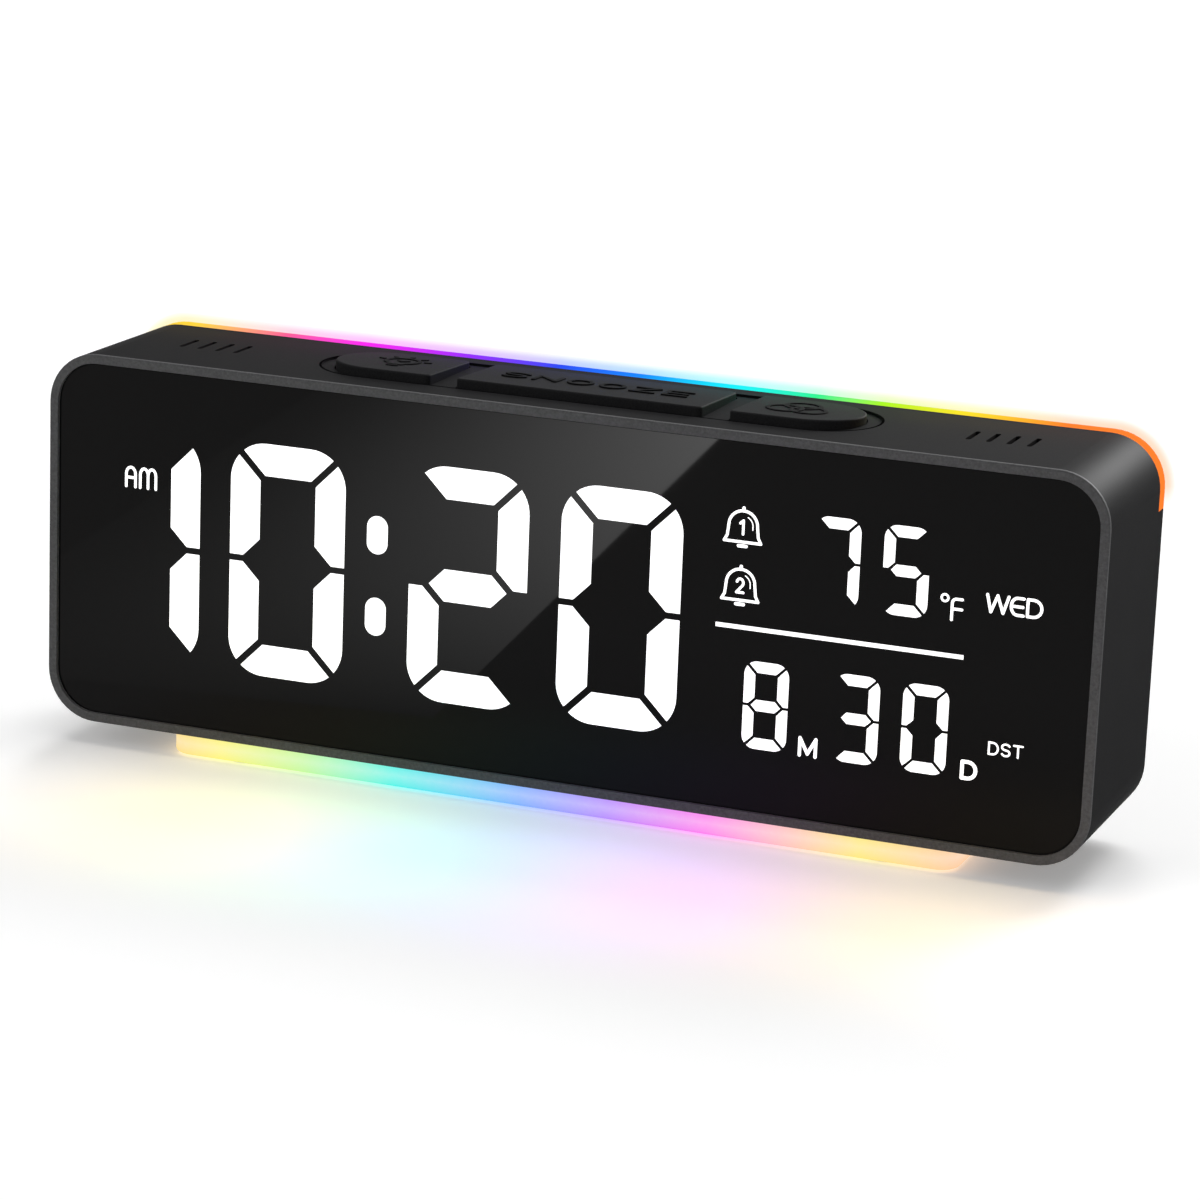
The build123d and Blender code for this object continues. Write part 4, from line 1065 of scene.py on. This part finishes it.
def press_dimple(plate, sizes):
    """Presses a tapered dimple out of the middle of a plate."""
    taper = 0.7
    pick(plate, "FACE", lambda face: face.normal.z > UPWARD)
    bpy.ops.mesh.inset(thickness=sizes.dimple_margin, use_even_offset=True)
    rise = {"value": (0, 0, sizes.dimple)}
    bpy.ops.mesh.extrude_region_move(TRANSFORM_OT_translate=rise)
    top = (0, 0, sizes.thickness + sizes.dimple)
    bpy.ops.transform.resize(value=(taper, taper, 1), center_override=top)
    bpy.ops.object.mode_set(mode="OBJECT")


def coil_spring(sizes):
    """A round wire wound into a spring that narrows from its plate to its cell."""
    deselect()
    bpy.ops.mesh.primitive_circle_add(
        vertices=10, radius=sizes.wire, location=(sizes.coil_base, 0, 0), rotation=FACING_FRONT
    )
    spring = bpy.context.object
    apply_place()
    wind = spring.modifiers.new("wind", "SCREW")
    wind.axis = "Z"
    wind.iterations = sizes.turns
    wind.screw_offset = sizes.coil_length / sizes.turns
    wind.steps = 24
    wind.render_steps = 24
    bpy.ops.object.modifier_apply(modifier=wind.name)
    narrow = spring.modifiers.new("narrow", "SIMPLE_DEFORM")
    narrow.deform_method = "TAPER"
    narrow.deform_axis = "Z"
    narrow.factor = sizes.coil_tip / sizes.coil_base - 1
    bpy.ops.object.modifier_apply(modifier=narrow.name)
    bpy.ops.object.mode_set(mode="EDIT")
    bpy.ops.mesh.select_all(action="SELECT")
    bpy.ops.mesh.fill_holes(sides=0)
    bpy.ops.mesh.select_all(action="SELECT")
    bpy.ops.mesh.normals_make_consistent(inside=False)
    bpy.ops.object.mode_set(mode="OBJECT")
    move_piece(spring, (0, 0, sizes.thickness + sizes.wire))
    return spring


class CLOCK_OT_cell_contacts(Operator):
    """Makes the coil springs and dimpled plates that hold the backup cells"""

    bl_idname = "clock.cell_contacts"
    bl_label = "Cell Contacts"

    def execute(self, context):
        sizes = context.scene.clock_contacts
        low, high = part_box("battery_contacts")
        middle = (low + high) / 2
        reach = (high.x - low.x) / 2
        level = (high.z - low.z - sizes.plate) / 2
        sprung = join([contact_plate(sizes), coil_spring(sizes)])
        dimpled = contact_plate(sizes)
        press_dimple(dimpled, sizes)
        pieces = []
        # each cell has a spring at its flat end and a dimple at its raised end
        for kind, way in ((sprung, 1), (dimpled, -1)):
            places = []
            for side in (-1, 1):
                where = (middle.x - way * side * reach, middle.y, middle.z + side * level)
                places.append((where, (0, way * side * math.radians(90), 0)))
            pieces += copies(kind, places)
        contacts = join(pieces)
        nickel = bpy.data.materials["nickel plated steel"]
        set_piece(contacts, "cell_contacts", ORIGIN, ORIGIN, nickel)
        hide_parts("battery_contacts")
        return {"FINISHED"}


def seen_rays(tree):
    """One for what the camera sees itself, in a reflection or through a clear piece, else nought."""
    ray = add_node(tree, "ShaderNodeLightPath").node.outputs
    seen = ray["Is Camera Ray"]
    for kind in ("Is Glossy Ray", "Is Transmission Ray"):
        seen = add_node(tree, "ShaderNodeMath", {0: seen, 1: ray[kind]}, operation="MAXIMUM")
    return seen


def pale_floor(stage):
    """A painted floor: dull and pale, and open white far from the clock to the eye and in reflections."""
    deselect()
    bpy.ops.mesh.primitive_plane_add(size=stage.floor_size, location=ORIGIN)
    floor = bpy.context.object
    floor.name = "floor"
    paint, tree, shader = new_finish("pale floor paint")
    tone, _ = clouded(tree, stage.floor, 300 * MM, 0.99)
    at = add_node(tree, "ShaderNodeTexCoord", output="Object")
    lift = add_node(tree, "ShaderNodeMapRange", {
        "Value": add_node(tree, "ShaderNodeVectorMath", {0: at}, operation="LENGTH"),
        "From Min": stage.lift_start,
        "From Max": stage.lift_end,
        "To Min": stage.floor_lift,
        "To Max": 1.0,
    })
    strength = add_node(tree, "ShaderNodeMath", {0: seen_rays(tree), 1: lift}, operation="MULTIPLY")
    set_inputs(tree, shader, {
        "Base Color": tone,
        "Roughness": 0.8,
        "Specular IOR Level": 0.0,
        "Emission Color": WHITE,
        "Emission Strength": strength,
    })
    floor.data.materials.append(paint)


def even_light(stage):
    """A world that is white to the eye, and an even light for everything else."""
    world = bpy.data.worlds.new("even light")
    world.use_nodes = True
    tree = world.node_tree
    level = add_node(tree, "ShaderNodeMapRange", {
        "Value": seen_rays(tree), "To Min": stage.ambient, "To Max": 1.0,
    })
    set_inputs(tree, tree.nodes["Background"], {"Color": WHITE, "Strength": level})
    bpy.context.scene.world = world


def area_lamp(name, where, aim, size, power, rgb=(1, 1, 1)):
    """A soft lamp that faces a point."""
    bpy.ops.object.light_add(type="AREA", location=where)
    lamp = bpy.context.object
    lamp.name = name
    lamp.data.shape = "RECTANGLE"
    lamp.data.size, lamp.data.size_y = size
    lamp.data.energy = power
    lamp.data.color = rgb
    way = Vector(aim) - Vector(where)
    lamp.rotation_euler = way.to_track_quat("-Z", "Y").to_euler()
    return lamp


def floor_glow(stage, bar):
    """Lamps that throw the light bar's colours on the floor in front of it, and white past its ends."""
    ahead = BAR_LOW.y - 32 * MM
    shift = 12 * MM
    height = 60 * MM
    size = (18 * MM, 40 * MM)
    white = (1, 1, 1)
    for i, (share, rgb) in enumerate([(-0.2, white), *bar, (1.15, white)]):
        x = BAR_LOW.x + share * (BAR_HIGH.x - BAR_LOW.x) + shift
        lamp = area_lamp(f"glow lamp {i}", (x, ahead, height), (x, ahead, 0), size, stage.glow, rgb)
        lamp.data.spread = math.radians(70)
        lamp.visible_glossy = False


def case_glow(stage, guide):
    """Lamps that throw the light guide's colours on the case in front of it."""
    back = GUIDE_LOW.y + 1 * MM
    front = GUIDE_LOW.y - 8 * MM
    height = GUIDE_HIGH.z + 3 * MM
    size = (20 * MM, 2 * MM)
    for i, (share, rgb) in enumerate(guide):
        x = GUIDE_LOW.x + share * (GUIDE_HIGH.x - GUIDE_LOW.x)
        aim = (x, front, GUIDE_HIGH.z)
        lamp = area_lamp(f"spill lamp {i}", (x, back, height), aim, size, stage.spill, rgb)
        lamp.visible_camera = False
        lamp.visible_glossy = False


def halo_card(stage, guide):
    """A clear card round the top of the case with a painted glow, which fades outwards from the light
    guide.
    """
    behind = (0, GUIDE_HIGH.y, GUIDE_HIGH.z)
    bpy.ops.mesh.primitive_plane_add(size=1, location=behind, rotation=FACING_FRONT)
    halo = bpy.context.object
    halo.name = "halo card"
    halo.scale = (220 * MM, 40 * MM, 1)
    apply_place()
    for kind in ("diffuse", "glossy", "transmission", "shadow"):
        setattr(halo, f"visible_{kind}", False)
    halo_glow_paint, tree, shader = new_finish("lit air")
    at = add_node(tree, "ShaderNodeTexCoord", output="Object")
    axes = add_node(tree, "ShaderNodeSeparateXYZ", {"Vector": at}).node.outputs
    hue = rainbow(tree, axes["X"], guide, GUIDE_LOW, GUIDE_HIGH)
    # painted glow: its hue is made paler than the guide's, as air that scatters the weaker light of each
    # hue too would show it
    hue = add_node(tree, "ShaderNodeGamma", {"Color": hue, "Gamma": 0.42})
    # how far a point is from the centres of the case's upper corners, or from the line between them
    bend = CASE_RADIUS * MM
    fade_in = 4 * MM
    far = 1.0
    centres = (GUIDE_HIGH.x - bend, far, GUIDE_HIGH.z - bend)
    folded = add_node(tree, "ShaderNodeVectorMath", {0: at}, operation="ABSOLUTE")
    past = add_node(tree, "ShaderNodeVectorMath", {0: folded, 1: centres}, operation="SUBTRACT")
    past = add_node(tree, "ShaderNodeVectorMath", {0: past, 1: ORIGIN}, operation="MAXIMUM")
    reach = add_node(tree, "ShaderNodeVectorMath", {0: past}, operation="LENGTH")
    cover = add_node(tree, "ShaderNodeMapRange", {
        "Value": reach,
        "From Min": bend,
        "From Max": bend + stage.halo_reach,
        "To Min": stage.halo,
        "To Max": 0.0,
    }, interpolation_type="SMOOTHERSTEP")
    outside = add_node(tree, "ShaderNodeMath", {0: reach, 1: bend}, operation="GREATER_THAN")
    above = add_node(tree, "ShaderNodeMapRange", {
        "Value": axes["Z"], "From Min": GUIDE_LOW.z, "From Max": GUIDE_LOW.z + fade_in,
    })
    for share in (outside, above):
        cover = add_node(tree, "ShaderNodeMath", {0: cover, 1: share}, operation="MULTIPLY")
    set_inputs(tree, shader, {
        "Base Color": BLACK,
        "Specular IOR Level": 0.0,
        "Emission Color": hue,
        "Emission Strength": 1.0,
        "Alpha": cover,
    })
    halo.data.materials.append(halo_glow_paint)


def sheen_card(stage):
    """A card that only reflections see, which lays a soft sheen over the left of the panel."""
    where = (-116 * MM, -199 * MM, 1 * MM)
    turn = (0, 0, math.radians(-8))
    gather = 1.6
    bpy.ops.mesh.primitive_plane_add(size=1, location=where, rotation=turn)
    card = bpy.context.object
    card.name = "sheen card"
    card.scale = (110 * MM, 290 * MM, 1)
    for kind in ("camera", "diffuse", "transmission", "shadow"):
        setattr(card, f"visible_{kind}", False)
    silk, tree, shader = new_finish("sheen card")
    at = add_node(tree, "ShaderNodeTexCoord", output="UV")
    axes = add_node(tree, "ShaderNodeSeparateXYZ", {"Vector": at}).node.outputs
    rise = add_node(tree, "ShaderNodeMath", {0: axes["X"], 1: gather}, operation="POWER")
    fall = add_node(tree, "ShaderNodeMath", {0: 1.0, 1: axes["Y"]}, operation="SUBTRACT")
    fade = add_node(tree, "ShaderNodeMath", {0: rise, 1: fall}, operation="MULTIPLY")
    strength = add_node(tree, "ShaderNodeMath", {
        0: fade, 1: stage.sheen, 2: 1.0,
    }, operation="MULTIPLY_ADD")
    set_inputs(tree, shader, {
        "Base Color": BLACK, "Emission Color": WHITE, "Emission Strength": strength,
    })
    card.data.materials.append(silk)


class CLOCK_OT_stage(Operator):
    """Makes the floor, the lamps and the camera"""

    bl_idname = "clock.stage"
    bl_label = "Stage"

    def execute(self, context):
        scene = context.scene
        stage = scene.clock_stage
        scene.view_settings.view_transform = "Standard"

        pale_floor(stage)
        even_light(stage)
        case_middle = (0, 0, 0.03)
        corner = (0.1, 0, 0.07)
        area_lamp("key lamp", (0.2, 2.2, 2.6), case_middle, (2.2, 2.2), stage.key)
        strip = area_lamp("rear strip lamp", (0.45, 1.6, 0.64), corner, (0.6, 0.3), stage.strip)
        strip.visible_diffuse = False
        area_lamp("front lamp", (-0.7, -1.3, 0.9), case_middle, (0.9, 0.9), stage.fill)

        guide = spread(scene.clock_guide_colours, GUIDE_HUES)
        floor_glow(stage, spread(scene.clock_bar_colours, BAR_HUES))
        case_glow(stage, guide)
        halo_card(stage, guide)
        sheen_card(stage)

        bpy.ops.object.camera_add(location=stage.camera_place, rotation=stage.camera_turn)
        camera = context.object
        camera.name = "photo camera"
        camera.data.sensor_width = 36
        camera.data.lens = stage.lens
        camera.data.clip_start = 0.01
        camera.data.clip_end = 50
        scene.camera = camera
        return {"FINISHED"}


class CLOCK_PT_panel(Panel):
    """Lists the clock's operators and settings"""

    bl_idname = "CLOCK_PT_panel"
    bl_label = "Digital Alarm Clock"
    bl_space_type = "VIEW_3D"
    bl_region_type = "UI"
    bl_category = "Clock"

    def draw(self, context):
        for operator in OPERATORS:
            self.layout.operator(operator.bl_idname)
        for name in SETTINGS:
            box = self.layout.box()
            group = getattr(context.scene, name)
            for key in group.bl_rna.properties.keys():
                if key not in ("rna_type", "name"):
                    box.prop(group, key)


SETTINGS = {
    "clock_colours": ClockColours,
    "clock_guide_colours": GuideColours,
    "clock_bar_colours": BarColours,
    "clock_legends": LegendSizes,
    "clock_key_marks": KeyMarkSizes,
    "clock_rear_print": RearPrintSizes,
    "clock_contacts": ContactSizes,
    "clock_stage": StageSettings,
}
OPERATORS = (
    CLOCK_OT_case_finish,
    CLOCK_OT_display_finish,
    CLOCK_OT_key_finish,
    CLOCK_OT_light_finish,
    CLOCK_OT_inner_finish,
    CLOCK_OT_letter_legends,
    CLOCK_OT_alarm_bells,
    CLOCK_OT_key_marks,
    CLOCK_OT_rear_print,
    CLOCK_OT_cell_contacts,
    CLOCK_OT_stage,
)
CLASSES = (*SETTINGS.values(), *OPERATORS, CLOCK_PT_panel)


def register():
    """Adds the classes, and the settings of each scene."""
    for cls in CLASSES:
        bpy.utils.register_class(cls)
    for name, cls in SETTINGS.items():
        setattr(bpy.types.Scene, name, PointerProperty(type=cls))


def unregister():
    """Takes the settings and the classes away again."""
    for name in SETTINGS:
        delattr(bpy.types.Scene, name)
    for cls in reversed(CLASSES):
        bpy.utils.unregister_class(cls)


def main():
    """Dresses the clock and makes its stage."""
    register()
    deselect()
    bpy.ops.clock.case_finish()
    bpy.ops.clock.display_finish()
    bpy.ops.clock.key_finish()
    bpy.ops.clock.light_finish()
    bpy.ops.clock.inner_finish()
    bpy.ops.clock.letter_legends()
    bpy.ops.clock.alarm_bells()
    bpy.ops.clock.key_marks()
    bpy.ops.clock.rear_print()
    bpy.ops.clock.cell_contacts()
    bpy.ops.clock.stage()


if __name__ == "__main__":
    main()
